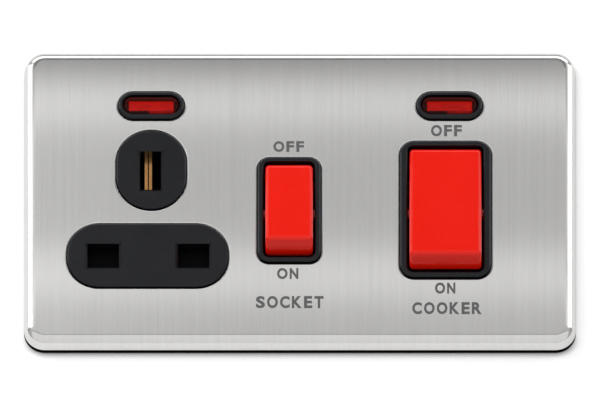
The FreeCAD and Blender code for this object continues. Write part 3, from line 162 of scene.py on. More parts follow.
class Skin:
    """Gathers grids and flat fills in millimetres and turns them into one mesh piece in metres."""

    def __init__(self):
        self.points = []
        self.faces = []
        self.count = 0

    def add_grid(self, grid):
        """Quads over a grid of rings; each ring is closed."""
        rows, columns = grid.shape[:2]
        index = np.arange(rows * columns).reshape(rows, columns) + self.count
        after = np.roll(index, -1, axis=1)
        quads = np.stack([index[:-1], after[:-1], after[1:], index[1:]], axis=-1).reshape(-1, 4)
        self.points.append(grid.reshape(-1, 3))
        self.faces.extend(quads.tolist())
        self.count += rows * columns
        return self

    def add_fill(self, loops):
        """Triangles over a flat face at one depth, bounded by its first loop, with the rest as holes."""
        triangles = tessellate_polygon([[Vector(point) for point in loop] for loop in loops])
        self.points.extend(loops)
        self.faces.extend([[a + self.count, b + self.count, c + self.count]
                           for a, b, c in triangles])
        self.count += sum(len(loop) for loop in loops)
        return self

    def build(self, name, material):
        """The object: doubles merged, normals outwards, smooth but for its sharp edges.

        Normals are weighted by area, so a wide face mirrors evenly up to the bend at its border.
        """
        mesh = bpy.data.meshes.new(name)
        points = np.concatenate([np.asarray(block) for block in self.points]) * MM
        mesh.from_pydata(points.tolist(), [], self.faces)
        work = bmesh.new()
        work.from_mesh(mesh)
        bmesh.ops.remove_doubles(work, verts=work.verts, dist=SAME_PLACE)
        bmesh.ops.recalc_face_normals(work, faces=work.faces)
        work.to_mesh(mesh)
        work.free()
        mesh.polygons.foreach_set("use_smooth", np.ones(len(mesh.polygons), bool))
        mesh.set_sharp_from_angle(angle=SHARP_TURN)
        part_flats(mesh)
        mesh.materials.append(material)
        lay_uv(mesh)
        piece = linked(name, mesh)
        weighted = piece.modifiers.new("even normals", "WEIGHTED_NORMAL")
        weighted.keep_sharp = True
        weighted.weight = 100
        print(name, "faces", len(mesh.polygons))
        return piece

    def make(self, name, slot, body, node):
        """A finished piece of the unit, which rides on a body and replaces a node."""
        piece = self.build(name, finishes[slot])
        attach(piece, body)
        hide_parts(node)
        return piece

# %% [markdown]
# ## Helpers for materials
# A finish is a small node tree. Patterns read Object coordinates, which are metres in the frame,
# so a scale of 1000 in a Mapping node means one unit of pattern for each millimetre.

# %% Material helpers


def new_material(name):
    """An empty node material with its shader: returns the material, its nodes, links and shader."""
    material = bpy.data.materials.new(name)
    material.use_nodes = True
    tree = material.node_tree
    shader = tree.nodes["Principled BSDF"]
    return material, tree.nodes, tree.links, shader


def pattern_place(tree_nodes, links, stretch):
    """Object coordinates in millimetres, divided by stretch along X, Y and Z."""
    place = tree_nodes.new("ShaderNodeTexCoord")
    mapping = tree_nodes.new("ShaderNodeMapping")
    mapping.inputs["Scale"].default_value = [1000.0 / size for size in stretch]
    links.new(place.outputs["Object"], mapping.inputs["Vector"])
    return mapping.outputs["Vector"]


def noise(tree_nodes, links, vector, detail=4.0, rough=0.6):
    """A noise pattern of about one feature for each unit of vector."""
    texture = tree_nodes.new("ShaderNodeTexNoise")
    texture.inputs["Scale"].default_value = 1.0
    texture.inputs["Detail"].default_value = detail
    texture.inputs["Roughness"].default_value = rough
    links.new(vector, texture.inputs["Vector"])
    return texture.outputs["Fac"]


def spread(tree_nodes, links, value, low, high, from_low=0.3, from_high=0.7):
    """A pattern value moved from its own range to low..high."""
    ranged = tree_nodes.new("ShaderNodeMapRange")
    ranged.inputs["From Min"].default_value = from_low
    ranged.inputs["From Max"].default_value = from_high
    ranged.inputs["To Min"].default_value = low
    ranged.inputs["To Max"].default_value = high
    links.new(value, ranged.inputs["Value"])
    return ranged.outputs["Result"]


def product(tree_nodes, links, a, b):
    """Two factors multiplied."""
    node = tree_nodes.new("ShaderNodeMath")
    node.operation = "MULTIPLY"
    links.new(a, node.inputs[0])
    links.new(b, node.inputs[1])
    return node.outputs["Value"]


def bar_mask(tree_nodes, links, value, low, high, soft):
    """A factor that is 1 while value lies between low and high, with a soft step at both ends."""
    return product(tree_nodes, links, spread(tree_nodes, links, value, 0, 1, low - soft, low + soft),
                   spread(tree_nodes, links, value, 1, 0, high - soft, high + soft))


def tint(tree_nodes, links, value, dark, light):
    """A colour between dark and light, chosen by a pattern value from 0 to 1."""
    ramp = tree_nodes.new("ShaderNodeMix")
    ramp.data_type = "RGBA"
    ramp.inputs["A"].default_value = (*dark, 1.0)
    ramp.inputs["B"].default_value = (*light, 1.0)
    links.new(value, ramp.inputs["Factor"])
    return ramp.outputs["Result"]


def mottle(tree_nodes, links, pattern, dark, light):
    """A colour between dark and light by a noise pattern."""
    return tint(tree_nodes, links, spread(tree_nodes, links, pattern, 0, 1), dark, light)


def scaled(tree_nodes, links, value, factor, added=None):
    """A value times a plain number, plus another value where there is one."""
    node = tree_nodes.new("ShaderNodeMath")
    node.operation = "MULTIPLY_ADD"
    links.new(value, node.inputs[0])
    node.inputs[1].default_value = factor
    node.inputs[2].default_value = 0.0
    if added is not None:
        links.new(added, node.inputs[2])
    return node.outputs["Value"]


def place_parts(tree_nodes, links):
    """Object coordinates in millimetres as three outputs, X, Y and Z."""
    parts = tree_nodes.new("ShaderNodeSeparateXYZ")
    links.new(pattern_place(tree_nodes, links, (1, 1, 1)), parts.inputs["Vector"])
    return parts.outputs


def layer(tree_nodes, links, below, above, factor):
    """One colour output laid over another, as far as the factor says."""
    mix = tree_nodes.new("ShaderNodeMix")
    mix.data_type = "RGBA"
    links.new(factor, mix.inputs["Factor"])
    links.new(below, mix.inputs["A"])
    links.new(above, mix.inputs["B"])
    return mix.outputs["Result"]


def bump(tree_nodes, links, value, shader, strength, distance):
    """A height pattern on the shader's normal; distance is in metres."""
    node = tree_nodes.new("ShaderNodeBump")
    node.inputs["Strength"].default_value = strength
    node.inputs["Distance"].default_value = distance
    links.new(value, node.inputs["Height"])
    links.new(node.outputs["Normal"], shader.inputs["Normal"])


def moulded(name, dark, light, rough, grain_mm, bump_m, shine=0.5):
    """Moulded plastic: slight mottling, an uneven gloss and a fine spark-eroded grain.

    shine is the specular level, 0.5 for most plastics and less for a dull filled one.
    """
    material, tree_nodes, links, shader = new_material(name)
    broad = noise(tree_nodes, links, pattern_place(tree_nodes, links, (9, 9, 9)), 2.0)
    fine = noise(tree_nodes, links, pattern_place(tree_nodes, links, (grain_mm,) * 3), 3.0)
    links.new(mottle(tree_nodes, links, broad, dark, light), shader.inputs["Base Color"])
    links.new(spread(tree_nodes, links, broad, rough * 0.9, rough * 1.12),
              shader.inputs["Roughness"])
    shader.inputs["Specular IOR Level"].default_value = shine
    bump(tree_nodes, links, fine, shader, 0.35, bump_m)
    return material


def metal(name, dark, light, rough, stretch, bump_m):
    """Worked metal: fine drawn or pressed lines along the long side of stretch."""
    material, tree_nodes, links, shader = new_material(name)
    lines = noise(tree_nodes, links, pattern_place(tree_nodes, links, stretch), 5.0, 0.7)
    broad = noise(tree_nodes, links, pattern_place(tree_nodes, links, (6, 6, 6)), 2.0)
    links.new(mottle(tree_nodes, links, broad, dark, light), shader.inputs["Base Color"])
    links.new(spread(tree_nodes, links, lines, rough * 0.8, rough * 1.25),
              shader.inputs["Roughness"])
    shader.inputs["Metallic"].default_value = 1.0
    bump(tree_nodes, links, lines, shader, 0.5, bump_m)
    return material

# %% [markdown]
# ## The finishes of the pieces
# The cover is stainless steel brushed up and down, so its scratches are long in Z and very fine in X.
# The mouldings are black with a slight sheen, and the rockers are a polished red-orange.

# %% Finishes
# Millimetres: the plate's face, and the half width, half height and depths that hold the cut edges.
FACE = -5.5
CUT_AREA = (68, 38)
CUT_FROM, CUT_TO = FACE + 0.04, FACE + 0.7
# The steel's colours, the near white painted highlight of a cut edge, and the roughness that a cut edge
# adds.
STEEL_DARK, STEEL_LIGHT = (0.642, 0.637, 0.627), (0.678, 0.673, 0.663)
CUT_HIGHLIGHT_COLOUR = (0.97, 0.97, 0.96)
CUT_DULLNESS = 0.3


def brushed_steel():
    """Vertically brushed steel: long fine scratches in colour, gloss and height.

    The highlight spreads across the scratches, along the U direction of the skin's UV map. The cut edge
    of each aperture has no streaks and is duller, and its near white colour is a painted highlight.
    """
    material, tree_nodes, links, shader = new_material("brushed cover steel")
    fine = noise(tree_nodes, links, pattern_place(tree_nodes, links, (0.12, 3, 22)), 3.0, 0.7)
    streak = noise(tree_nodes, links, pattern_place(tree_nodes, links, (1.1, 8, 60)), 4.0, 0.75)
    brushed = mottle(tree_nodes, links, streak, STEEL_DARK, STEEL_LIGHT)
    parts = place_parts(tree_nodes, links)
    sides = [bar_mask(tree_nodes, links, parts[axis], -reach, reach, 0.5)
             for axis, reach in zip("XZ", CUT_AREA)]
    below = bar_mask(tree_nodes, links, parts["Y"], CUT_FROM, CUT_TO, 0.02)
    cut = product(tree_nodes, links, product(tree_nodes, links, *sides), below)
    # The cut edge is painted near white: a painted highlight for the light that the edge catches.
    colour = tree_nodes.new("ShaderNodeMix")
    colour.data_type = "RGBA"
    links.new(cut, colour.inputs["Factor"])
    links.new(brushed, colour.inputs["A"])
    colour.inputs["B"].default_value = (*CUT_HIGHLIGHT_COLOUR, 1)
    links.new(colour.outputs["Result"], shader.inputs["Base Color"])
    polish = spread(tree_nodes, links, fine, 0.165, 0.195)
    links.new(scaled(tree_nodes, links, cut, CUT_DULLNESS, polish), shader.inputs["Roughness"])
    shader.inputs["Metallic"].default_value = 1.0
    shader.inputs["Anisotropic"].default_value = 0.9
    tangent = tree_nodes.new("ShaderNodeTangent")
    tangent.direction_type = "UV_MAP"
    tangent.uv_map = "brushing"
    links.new(tangent.outputs["Tangent"], shader.inputs["Tangent"])
    bump(tree_nodes, links, fine, shader, 0.2, 0.000003)
    return material


finishes = {
    "brushed_plate": brushed_steel(),
    "frame_black": moulded("frame moulding", (0.02, 0.02, 0.022), (0.03, 0.03, 0.033),
                           0.5, 0.5, 0.00001),
    "moulding_black": moulded("black front moulding", (0.0045, 0.005, 0.007), (0.007, 0.0075, 0.010),
                              0.24, 0.35, 0.000001, 0.28),
    "base_black": moulded("rear base moulding", (0.02, 0.02, 0.022), (0.03, 0.03, 0.032),
                          0.55, 0.5, 0.00001),
    "rocker_red": moulded("red rocker", (0.87, 0.009, 0.0012), (0.89, 0.010, 0.0016),
                          0.14, 0.6, 0.0000006, 0.28),
    "lens_red": moulded("red lens", (0.26, 0.003, 0.003), (0.32, 0.004, 0.004),
                        0.18, 0.8, 0.000002, 0.4),
    "brass": metal("brass strip", (0.50, 0.25, 0.09), (0.66, 0.36, 0.14), 0.28, (0.2, 0.2, 6), 3e-6),
    "copper": metal("copper strip", (0.72, 0.36, 0.22), (0.82, 0.45, 0.30), 0.3, (0.2, 0.2, 6), 3e-6),
    "silver": metal("silver rivet", (0.80, 0.79, 0.76), (0.88, 0.87, 0.84), 0.22, (0.3, 0.3, 0.3),
                    2e-6),
    "spring_steel": metal("spring wire", (0.42, 0.42, 0.43), (0.55, 0.55, 0.56), 0.3,
                          (0.2, 0.2, 0.2), 2e-6),
    "zinc_screw": metal("zinc screw", (0.66, 0.66, 0.62), (0.78, 0.78, 0.73), 0.3, (0.3, 0.3, 0.3),
                        3e-6),
    "terminal_brass": metal("terminal brass", (0.62, 0.42, 0.18), (0.74, 0.54, 0.26), 0.33,
                            (0.25, 0.25, 8), 4e-6),
    "shutter_black": moulded("shutter moulding", (0.0008, 0.0008, 0.0008), (0.0012, 0.0012, 0.0012),
                             0.5, 0.4, 0.000006, 0.05),
    "nose_white": moulded("plunger nose", (0.72, 0.70, 0.64), (0.80, 0.78, 0.72),
                          0.35, 0.4, 0.000004),
    "lamp_glass": moulded("lamp glass", (0.55, 0.50, 0.45), (0.60, 0.55, 0.50),
                          0.08, 1.0, 0.000002),
    "resistor_body": moulded("resistor lacquer", (0.42, 0.28, 0.14), (0.50, 0.34, 0.18),
                             0.3, 0.3, 0.00001),
    "tinned_lead": metal("tinned wire", (0.58, 0.58, 0.56), (0.70, 0.70, 0.68), 0.28,
                         (0.3, 0.3, 0.3), 2e-6),
}
for name, piece in nodes.items():
    piece.data.materials.clear()
    piece.data.materials.append(finishes[slot_of[name]])
print("finishes", len(finishes))

# %% [markdown]
# ## The cover plate
# The real plate is one sheet, pressed to a shallow tray, with its apertures cut by a laser or a
# press. Its edge bends over to a crease, and the side runs on straight towards the wall. So the skin
# is a ring swept through that profile: over the bend, down the side, round the lip and back up
# inside. The side stops short of the wall and leaves a gap there. Each aperture has a small cut
# edge, painted near white: a painted highlight for the light that it catches.

# %% Cover plate
# Millimetres, but for the angle CREASE_TURN. A shape is (middle x, middle z, width, height, corner
# radius), and the radius FULL rounds its ends fully.
SHEET = 0.9
EDGE = 3.1
CREASE_TURN = math.radians(50.7)
CUT = 0.38
SHADOW_GAP = 1.3
LIP = 0.12
LIP_INSET = 0.02
APERTURE_GAP = 0.3
PLATE = (0, 0, 146, 86, 5.5)
FULL = 99
EARTH_BOSS_X, EARTH_BOSS_Z, EARTH_BOSS = -39.36, 7.7, (18.4, 22.9)
PIN_BOSS_X, PIN_BOSS_Z, PIN_BOSS, PIN_BOSS_R = -40.33, -17.32, (42.5, 18.3), 8.4
SMALL_X, SMALL_Z, SMALL_BEZEL, SMALL_BEZEL_R = -2.87, -4.05, (16.6, 30.4), 3.1
BIG_X, BIG_Z, BIG_BEZEL, BIG_BEZEL_R = 38.5, -3.9, (24.0, 39.6), 3.8
NEON_Z, NEON = 26.45, (17.3, 7.8)
NEON_X = {"socket": -39.36, "cooker": 39.57}


def aperture(cx, cz, size, radius):
    """The hole that a moulding of that size stands in, with its gap all round."""
    gap = APERTURE_GAP
    return (cx, cz, size[0] + 2 * gap, size[1] + 2 * gap, radius + gap)


apertures = [
    aperture(EARTH_BOSS_X, EARTH_BOSS_Z, EARTH_BOSS, FULL),
    aperture(PIN_BOSS_X, PIN_BOSS_Z, PIN_BOSS, PIN_BOSS_R),
    aperture(SMALL_X, SMALL_Z, SMALL_BEZEL, SMALL_BEZEL_R),
    aperture(BIG_X, BIG_Z, BIG_BEZEL, BIG_BEZEL_R),
] + [aperture(x, NEON_Z, NEON, FULL) for x in NEON_X.values()]


def cover_plate():
    """The plate's skin from its rim profile, two flat fills and the walls of its apertures."""
    back = FACE + SHEET
    crease = EDGE * (1 - math.sin(CREASE_TURN))
    crease_y = FACE + EDGE * (1 - math.cos(CREASE_TURN))
    rim = (arc_profile((EDGE, FACE), (crease, crease_y), (EDGE, FACE + EDGE), 26)
           + [(LIP_INSET, -SHADOW_GAP - LIP), (LIP_INSET + LIP, -SHADOW_GAP), (SHEET, -SHADOW_GAP),
              (SHEET + crease, crease_y + SHEET / 2), (EDGE, back)])
    wall = arc_profile((-CUT, FACE), (0, FACE + CUT), (-CUT, FACE + CUT), 6) + [(0, back)]
    skin = Skin()
    skin.add_grid(sweep(PLATE, rim))
    for hole in apertures:
        skin.add_grid(sweep(hole, wall))
    skin.add_fill([ring(*PLATE, EDGE, FACE)] + [ring(*hole, -CUT, FACE) for hole in apertures])
    skin.add_fill([ring(*PLATE, EDGE, back)] + [ring(*hole, 0, back) for hole in apertures])
    return skin.make("cover_plate", "brushed_plate", "unit", "front_plate")


cover_plate()

# %% [markdown]
# ## The rockers
# A rocker's side view is a face, a soft ridge at each end, and ends struck from the pivot. The skin
# runs that outline across the width and draws it in towards both sides, which rounds every edge
# alike. The end turns in again below the band, so the gap under it stays dark. Behind are the two
# pivot pins and the tubes that carry the sprung noses.

# %% Rockers
# Millimetres, but for the angle TILT. A rocker's size is (width, reach from the pivot).
PIVOT_Y = -2.5
RISE = 6.5
SKIRT = 1.4
UPPER_LEAN, LOWER_CUT, BAND_END = 0.3, 3.2, 0.1
RIDGE_R, WAIST_R, SKIRT_R = 1.4, 9.0, 1.2
SIDE_R = 1.1
PIN_R, PIN_LEN, PIN_ROOT, PIN_BEVEL = 1.4, 1.4, 0.5, 0.2
TUBE_R, TUBE_BORE, TUBE_REACH, TUBE_BEVEL = 2.7, 1.6, 11.6, 0.2
TUBE_ROOT, TUBE_FLOOR = 0.9, 1.6
TUBE_SIDE = 5
ROUND_STEPS = 40
SMALL_ROCKER, BIG_ROCKER = (12.6, 13.4), (19.1, 17.9)
TILT = math.radians(-9)


def bevel_outline(points, radii, steps):
    """A closed (y, z) outline with each corner rounded: the points and their outward normals.

    A corner of radius r is an arc about the point that lies r inside both of its sides.
    """
    places, normals = [], []
    count = len(points)
    for i, (corner, radius) in enumerate(zip(points, radii)):
        corner = np.array(corner, float)
        before = np.array(points[i - 1], float) - corner
        after = np.array(points[(i + 1) % count], float) - corner
        before /= np.linalg.norm(before)
        after /= np.linalg.norm(after)
        half = math.acos(np.clip(before @ after, -1, 1)) / 2
        middle = (before + after) / np.linalg.norm(before + after)
        centre = corner + middle * radius / math.sin(half)
        first = corner + before * radius / math.tan(half) - centre
        last = corner + after * radius / math.tan(half) - centre
        for part in np.linspace(0, 1, steps):
            spoke = (1 - part) * first + part * last
            spoke /= np.linalg.norm(spoke)
            places.append(centre + spoke * radius)
            normals.append(spoke)
    return np.array(places), np.array(normals)


def round_rings(profile, axis):
    """Rings about an axis, X or Y, one for each (distance along the axis, radius) of profile."""
    angle = np.linspace(0, 2 * math.pi, ROUND_STEPS, endpoint=False)
    along, radius = np.array(profile, float).T
    a = radius[:, None] * np.cos(angle)
    b = radius[:, None] * np.sin(angle)
    run = np.broadcast_to(along[:, None], a.shape)
    return np.stack([run, a, b] if axis == "X" else [a, run, b], axis=-1)


def tilted(grid, cx, cz):
    """A grid about the pivot, turned to the OFF rest and moved to the rocker's place."""
    x, y, z = np.moveaxis(grid, -1, 0)
    return np.stack([cx + x, PIVOT_Y + y * math.cos(TILT) - z * math.sin(TILT),
                     cz + y * math.sin(TILT) + z * math.cos(TILT)], axis=-1)


def rocker_skin(name, node, cx, cz, size, tubes):
    """A rocker at its OFF rest, from its side view drawn in towards both sides.

    At x the outline is drawn in by SIDE_R (1 - cos a), where x stands SIDE_R sin a outside the
    flat part of the face. The origin of the side view is the pivot.
    """
    width, reach = size
    half = math.sqrt(reach ** 2 - RISE ** 2)
    waist = math.sqrt(reach ** 2 - (RISE / 2) ** 2)
    corners = [(-RISE, half), (-RISE / 2, waist), (SKIRT, reach - UPPER_LEAN),
               (SKIRT, LOWER_CUT - reach), (-BAND_END, -reach), (-RISE / 2, -waist), (-RISE, -half)]
    radii = [RIDGE_R, WAIST_R, SKIRT_R, SKIRT_R, SKIRT_R, WAIST_R, RIDGE_R]
    side, out = bevel_outline(corners, radii, 9)
    turn = np.linspace(0, math.pi / 2, 9)
    flat = width / 2 - SIDE_R
    across = np.concatenate([-flat - SIDE_R * np.sin(turn[::-1]), flat + SIDE_R * np.sin(turn)])
    inward = SIDE_R * (1 - np.cos(np.concatenate([turn[::-1], turn])))
    outline = side[None] - out[None] * inward[:, None, None]
    x = np.broadcast_to(across[:, None], outline.shape[:2])
    grid = tilted(np.concatenate([x[..., None], outline], axis=-1), cx, cz)
    skin = Skin().add_grid(grid)
    for edge in (grid[0], grid[-1]):
        skin.add_fill([edge])
    for way in (-1, 1):
        root, tip = way * (width / 2 - PIN_ROOT), way * (width / 2 + PIN_LEN)
        pin = round_rings([(root, 0.0), (root, PIN_R), (tip - way * PIN_BEVEL, PIN_R),
                           (tip, PIN_R - PIN_BEVEL), (tip, 0.0)], "X")
        skin.add_grid(tilted(pin, cx, cz))
    for x in tubes:
        tube = round_rings([(TUBE_ROOT, 0.0), (TUBE_ROOT, TUBE_R), (TUBE_REACH - TUBE_BEVEL, TUBE_R),
                            (TUBE_REACH, TUBE_R - TUBE_BEVEL), (TUBE_REACH, TUBE_BORE),
                            (TUBE_FLOOR, TUBE_BORE), (TUBE_FLOOR, 0.0)], "Y")
        skin.add_grid(tilted(tube, x, cz))
    return skin.make(name, "rocker_red", node, node)


rocker_skin("socket_rocker_skin", "socket_rocker", SMALL_X, SMALL_Z, SMALL_ROCKER, [SMALL_X])
rocker_skin("cooker_rocker_skin", "cooker_rocker", BIG_X, BIG_Z, BIG_ROCKER,
            [BIG_X - TUBE_SIDE, BIG_X + TUBE_SIDE])

# %% [markdown]
# ## The neon lenses
# A real lens is a clear red cap over a lamp. Its rounded front catches a thin line of light, and the
# pocket behind shows as a brighter bar. The finish here is opaque, and that bar is painted light,
# painted by its place.

# %% Neon lenses
# Millimetres. EXTRA_RING is how far one more ring of points stands behind the round edge.
LENS_FACE = -6.3
LENS_W, LENS_H, LENS_R = 15.2, 5.5, 1.1
LENS_BACK = -3.0
POCKET_W, POCKET_H, POCKET_R, POCKET_Y = 11.8, 4.0, 0.2, -5.0
LENS_DOME = 0.12
EXTRA_RING = 0.3
# The pocket's painted light: its bright bar, a dimmer strip below the bar's right half, and a paler band
# above the bar.
BAR_REACH, BAR_LOW, BAR_TOP = 5.9, 24.7, 27.3
DIM_FROM, DIM_TO, DIM_LOW, DIM_TOP = -0.6, 6.1, 23.8, 24.8
BAND_TOP = 28.5


def lens_finish(cx):
    """Opaque red plastic that looks clear: dark, with painted light for the pocket: a brighter bar, a
    dimmer strip and a paler band.
    """
    material, tree_nodes, links, shader = new_material("lens with painted pocket light")
    ripple = noise(tree_nodes, links, pattern_place(tree_nodes, links, (2.2, 4, 0.9)), 2.0)
    parts = place_parts(tree_nodes, links)
    across, height = parts["X"], parts["Z"]
    bar = bar_mask(tree_nodes, links, across, cx - BAR_REACH, cx + BAR_REACH, 0.15)
    upper = bar_mask(tree_nodes, links, height, BAR_LOW, BAR_TOP, 0.12)
    right = bar_mask(tree_nodes, links, across, cx + DIM_FROM, cx + DIM_TO, 0.3)
    lower = bar_mask(tree_nodes, links, height, DIM_LOW, DIM_TOP, 0.15)
    band = bar_mask(tree_nodes, links, height, BAR_TOP, BAND_TOP, 0.1)
    # Painted light: the paler band, the dim strip and the bright bar stand in for light seen through a
    # clear lens.
    rest = tint(tree_nodes, links, band, (0.022, 0.0015, 0.001), (0.045, 0.003, 0.002))
    painted_bar_light = mottle(tree_nodes, links, ripple, (0.34, 0.004, 0.002), (0.50, 0.006, 0.003))
    painted_dim_light = mottle(tree_nodes, links, ripple, (0.16, 0.002, 0.001), (0.30, 0.003, 0.002))
    colour = layer(tree_nodes, links, rest, painted_dim_light, product(tree_nodes, links, right, lower))
    colour = layer(tree_nodes, links, colour, painted_bar_light, product(tree_nodes, links, bar, upper))
    links.new(colour, shader.inputs["Base Color"])
    shader.inputs["Roughness"].default_value = 0.1
    shader.inputs["Specular IOR Level"].default_value = 0.09
    bump(tree_nodes, links, ripple, shader, 0.15, 0.00002)
    return material


def lens_skin(name, node, cx):
    """A lens's skin: rings from its back over a round edge to a low dome, and the lamp's pocket.

    The dome rises by LENS_DOME (1 - s squared), s being 1 where the round edge ends.
    """
    inner = LENS_H / 2 - LENS_R
    edge = arc_profile((0, LENS_FACE + LENS_R), (LENS_R, LENS_FACE + LENS_DOME),
                       (LENS_R, LENS_FACE + LENS_DOME + LENS_R), 10)
    share = np.linspace(1, 0, 9)[1:]
    dome = [(LENS_R + inner * (1 - s), LENS_FACE + LENS_DOME * s * s) for s in share]
    profile = [(0, LENS_BACK), (0, LENS_FACE + LENS_R + EXTRA_RING)] + edge + dome
    shape = (cx, NEON_Z, LENS_W, LENS_H, FULL)
    skin = Skin().add_grid(sweep(shape, profile))
    pocket = (cx, NEON_Z, POCKET_W, POCKET_H, POCKET_R)
    skin.add_grid(sweep(pocket, [(0, LENS_BACK), (0, POCKET_Y)]))
    skin.add_fill([ring(*shape, 0, LENS_BACK), ring(*pocket, 0, LENS_BACK)])
    skin.add_fill([ring(*pocket, 0, POCKET_Y)])
    piece = skin.build(name, lens_finish(cx))
    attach(piece, "unit")
    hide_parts(node)
    return piece


for side, cx in NEON_X.items():
    lens_skin(side + "_lens_skin", side + "_neon_lens", cx)

# %% [markdown]
# ## The springs
# A spring rides with the piece it sits in. Each is a merged copy of its CAD coil.

# %% Springs
SPRING_JOINTS = {"socket_plunger_spring": "socket_plunger_slide",
                 "line_plunger_spring": "line_plunger_slide",
                 "neutral_plunger_spring": "neutral_plunger_slide",
                 "shutter_spring": "shutter_slide"}


def sprung(node, joint):
    """A spring: a merged copy of its CAD coil, which keeps its CAD length.

    The point furthest along its joint's axis is found as the end that stays.
    """
    motion = next(held for held in record["behaviour"]["joints"] if held["name"] == joint)
    axis = np.array(motion["axis"], float)
    cad = nodes[node]
    work = bmesh.new()
    work.from_mesh(cad.data)
    work.transform(cad.matrix_world)
    bmesh.ops.remove_doubles(work, verts=work.verts, dist=SAME_PLACE)
    mesh = bpy.data.meshes.new(node + "_coil")
    work.to_mesh(mesh)
    work.free()
    mesh.polygons.foreach_set("use_smooth", np.ones(len(mesh.polygons), bool))
    mesh.materials.append(finishes["spring_steel"])
    piece = linked(node + "_coil", mesh)
    points = points_of(mesh)
    along = points @ axis
    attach(piece, body_of[node])
    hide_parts(node)
    stays = points[along.argmax()]
    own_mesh(piece)


for node, joint in SPRING_JOINTS.items():
    sprung(node, joint)

# %% [markdown]
# ## Printed words
# The switch positions and the two plain function words are printed in grey. Each letter is a flat
# filled curve, made a mesh before it is placed. It has no thickness and stands just off the steel.

# %% Words
# INK is in millimetres. BOLDER widens the strokes, in units of the font.
INK = 0.03
BOLDER = 0.038


def ink_finish():
    """Grey screen ink: a little uneven, and dull beside the steel."""
    material, tree_nodes, links, shader = new_material("grey ink")
    grain = noise(tree_nodes, links, pattern_place(tree_nodes, links, (0.3, 0.3, 0.3)), 3.0)
    links.new(mottle(tree_nodes, links, grain, (0.10, 0.10, 0.10), (0.13, 0.13, 0.13)),
              shader.inputs["Base Color"])
    shader.inputs["Roughness"].default_value = 0.6
    shader.inputs["Specular IOR Level"].default_value = 0.2
    return material


ink = ink_finish()
# The capitals' widths and the gap between two, in pixels of the photo. A word scales them to fit.
LETTER_W = {"S": 9.2, "O": 11.1, "C": 10.0, "K": 10.3, "E": 8.5, "T": 9.4, "R": 10.2, "N": 9.1,
            "F": 8.0}
LETTER_GAP = 2.2


def letter(character):
    """A bold letter as flat points from (0, 0) to (1, 1) and its faces."""
    curve = bpy.data.curves.new("letter", "FONT")
    curve.body = character
    curve.offset = BOLDER
    curve.resolution_u = 6
    maker = linked("letter", curve)
    bpy.context.view_layer.update()
    mesh = bpy.data.meshes.new_from_object(maker)
    bpy.data.objects.remove(maker)
    flat = points_of(mesh)[:, :2]
    faces = [list(face.vertices) for face in mesh.polygons]
    bpy.data.meshes.remove(mesh)
    return (flat - flat.min(0)) / (flat.max(0) - flat.min(0)), faces


def word(name, text, cx, cz, width, height):
    """A word in millimetres, centred on (cx, cz): each letter fills its share of the width."""
    shares = np.array([LETTER_W[character] for character in text])
    unit = width / (shares.sum() + LETTER_GAP * (len(text) - 1))
    starts = np.concatenate([[0], np.cumsum(shares + LETTER_GAP)[:-1]])
    points, faces, count = [], [], 0
    for character, start, share in zip(text, starts, shares):
        flat, polygons = letter(character)
        points.append(np.stack([cx - width / 2 + unit * (start + share * flat[:, 0]),
                                np.full(len(flat), FACE - INK),
                                cz + height * (flat[:, 1] - 0.5)], axis=1))
        faces += [[corner + count for corner in face] for face in polygons]
        count += len(flat)
    mesh = bpy.data.meshes.new(name)
    mesh.from_pydata((np.concatenate(points) * MM).tolist(), [], faces)
    mesh.materials.append(ink)
    piece = linked(name, mesh)
    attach(piece, "unit")
    return piece


# From the photo: the millimetres that a pixel spans across, and up, where the view from below makes
# them more. Then the pixel column and row of the middle of the plate's face.
PIXEL = 1 / 3.779
PIXEL_UP = 1 / 3.425
MID_X_PX = 299.95
FACE_ZERO_PX = 196.45
# Each word with its left, right, top and bottom in the photo, in pixels.
words = {
    "small_off": ("OFF", 273.4, 304.0, 141.2, 151.9),
    "small_on": ("ON", 277.0, 298.3, 268.1, 279.0),
    "socket_word": ("SOCKET", 255.9, 323.5, 296.1, 308.1),
    "big_off": ("OFF", 431.0, 461.8, 125.0, 136.3),
    "big_on": ("ON", 435.0, 455.3, 282.6, 293.7),
    "cooker_word": ("COOKER", 412.2, 481.6, 302.2, 314.1),
}
for name, (text, left, right, top, bottom) in words.items():
    word(name, text, ((left + right) / 2 - MID_X_PX) * PIXEL,
         (FACE_ZERO_PX - (top + bottom) / 2) * PIXEL_UP,
         (right - left) * PIXEL, (bottom - top) * PIXEL_UP)
print("words", len(words))

# %% [markdown]
# ## Camera
# The photograph shows no keystone. It was taken square across and from about 25 degrees below, so the
# camera is orthographic. Its scale across is 3.779 pixels for each millimetre.

# %% Camera
VIEW_BELOW = math.radians(25.0)
CENTRE_UP_MM = 1.38
CAMERA_BACK = 0.6
PICTURE_WIDTH_PX = 600
toward = Vector((0.0, math.cos(VIEW_BELOW), math.sin(VIEW_BELOW)))
up = Vector((0.0, -math.sin(VIEW_BELOW), math.cos(VIEW_BELOW)))
camera_data = bpy.data.cameras.new("view")
camera_data.type = "ORTHO"
camera_data.ortho_scale = PICTURE_WIDTH_PX * PIXEL * MM
camera = linked("view", camera_data)
camera.location = up * CENTRE_UP_MM * MM - toward * CAMERA_BACK
camera.rotation_mode = "QUATERNION"
camera.rotation_quaternion = toward.to_track_quat("-Z", "Y")
bpy.context.scene.camera = camera
print("picture width in metres", round(camera_data.ortho_scale, 4))
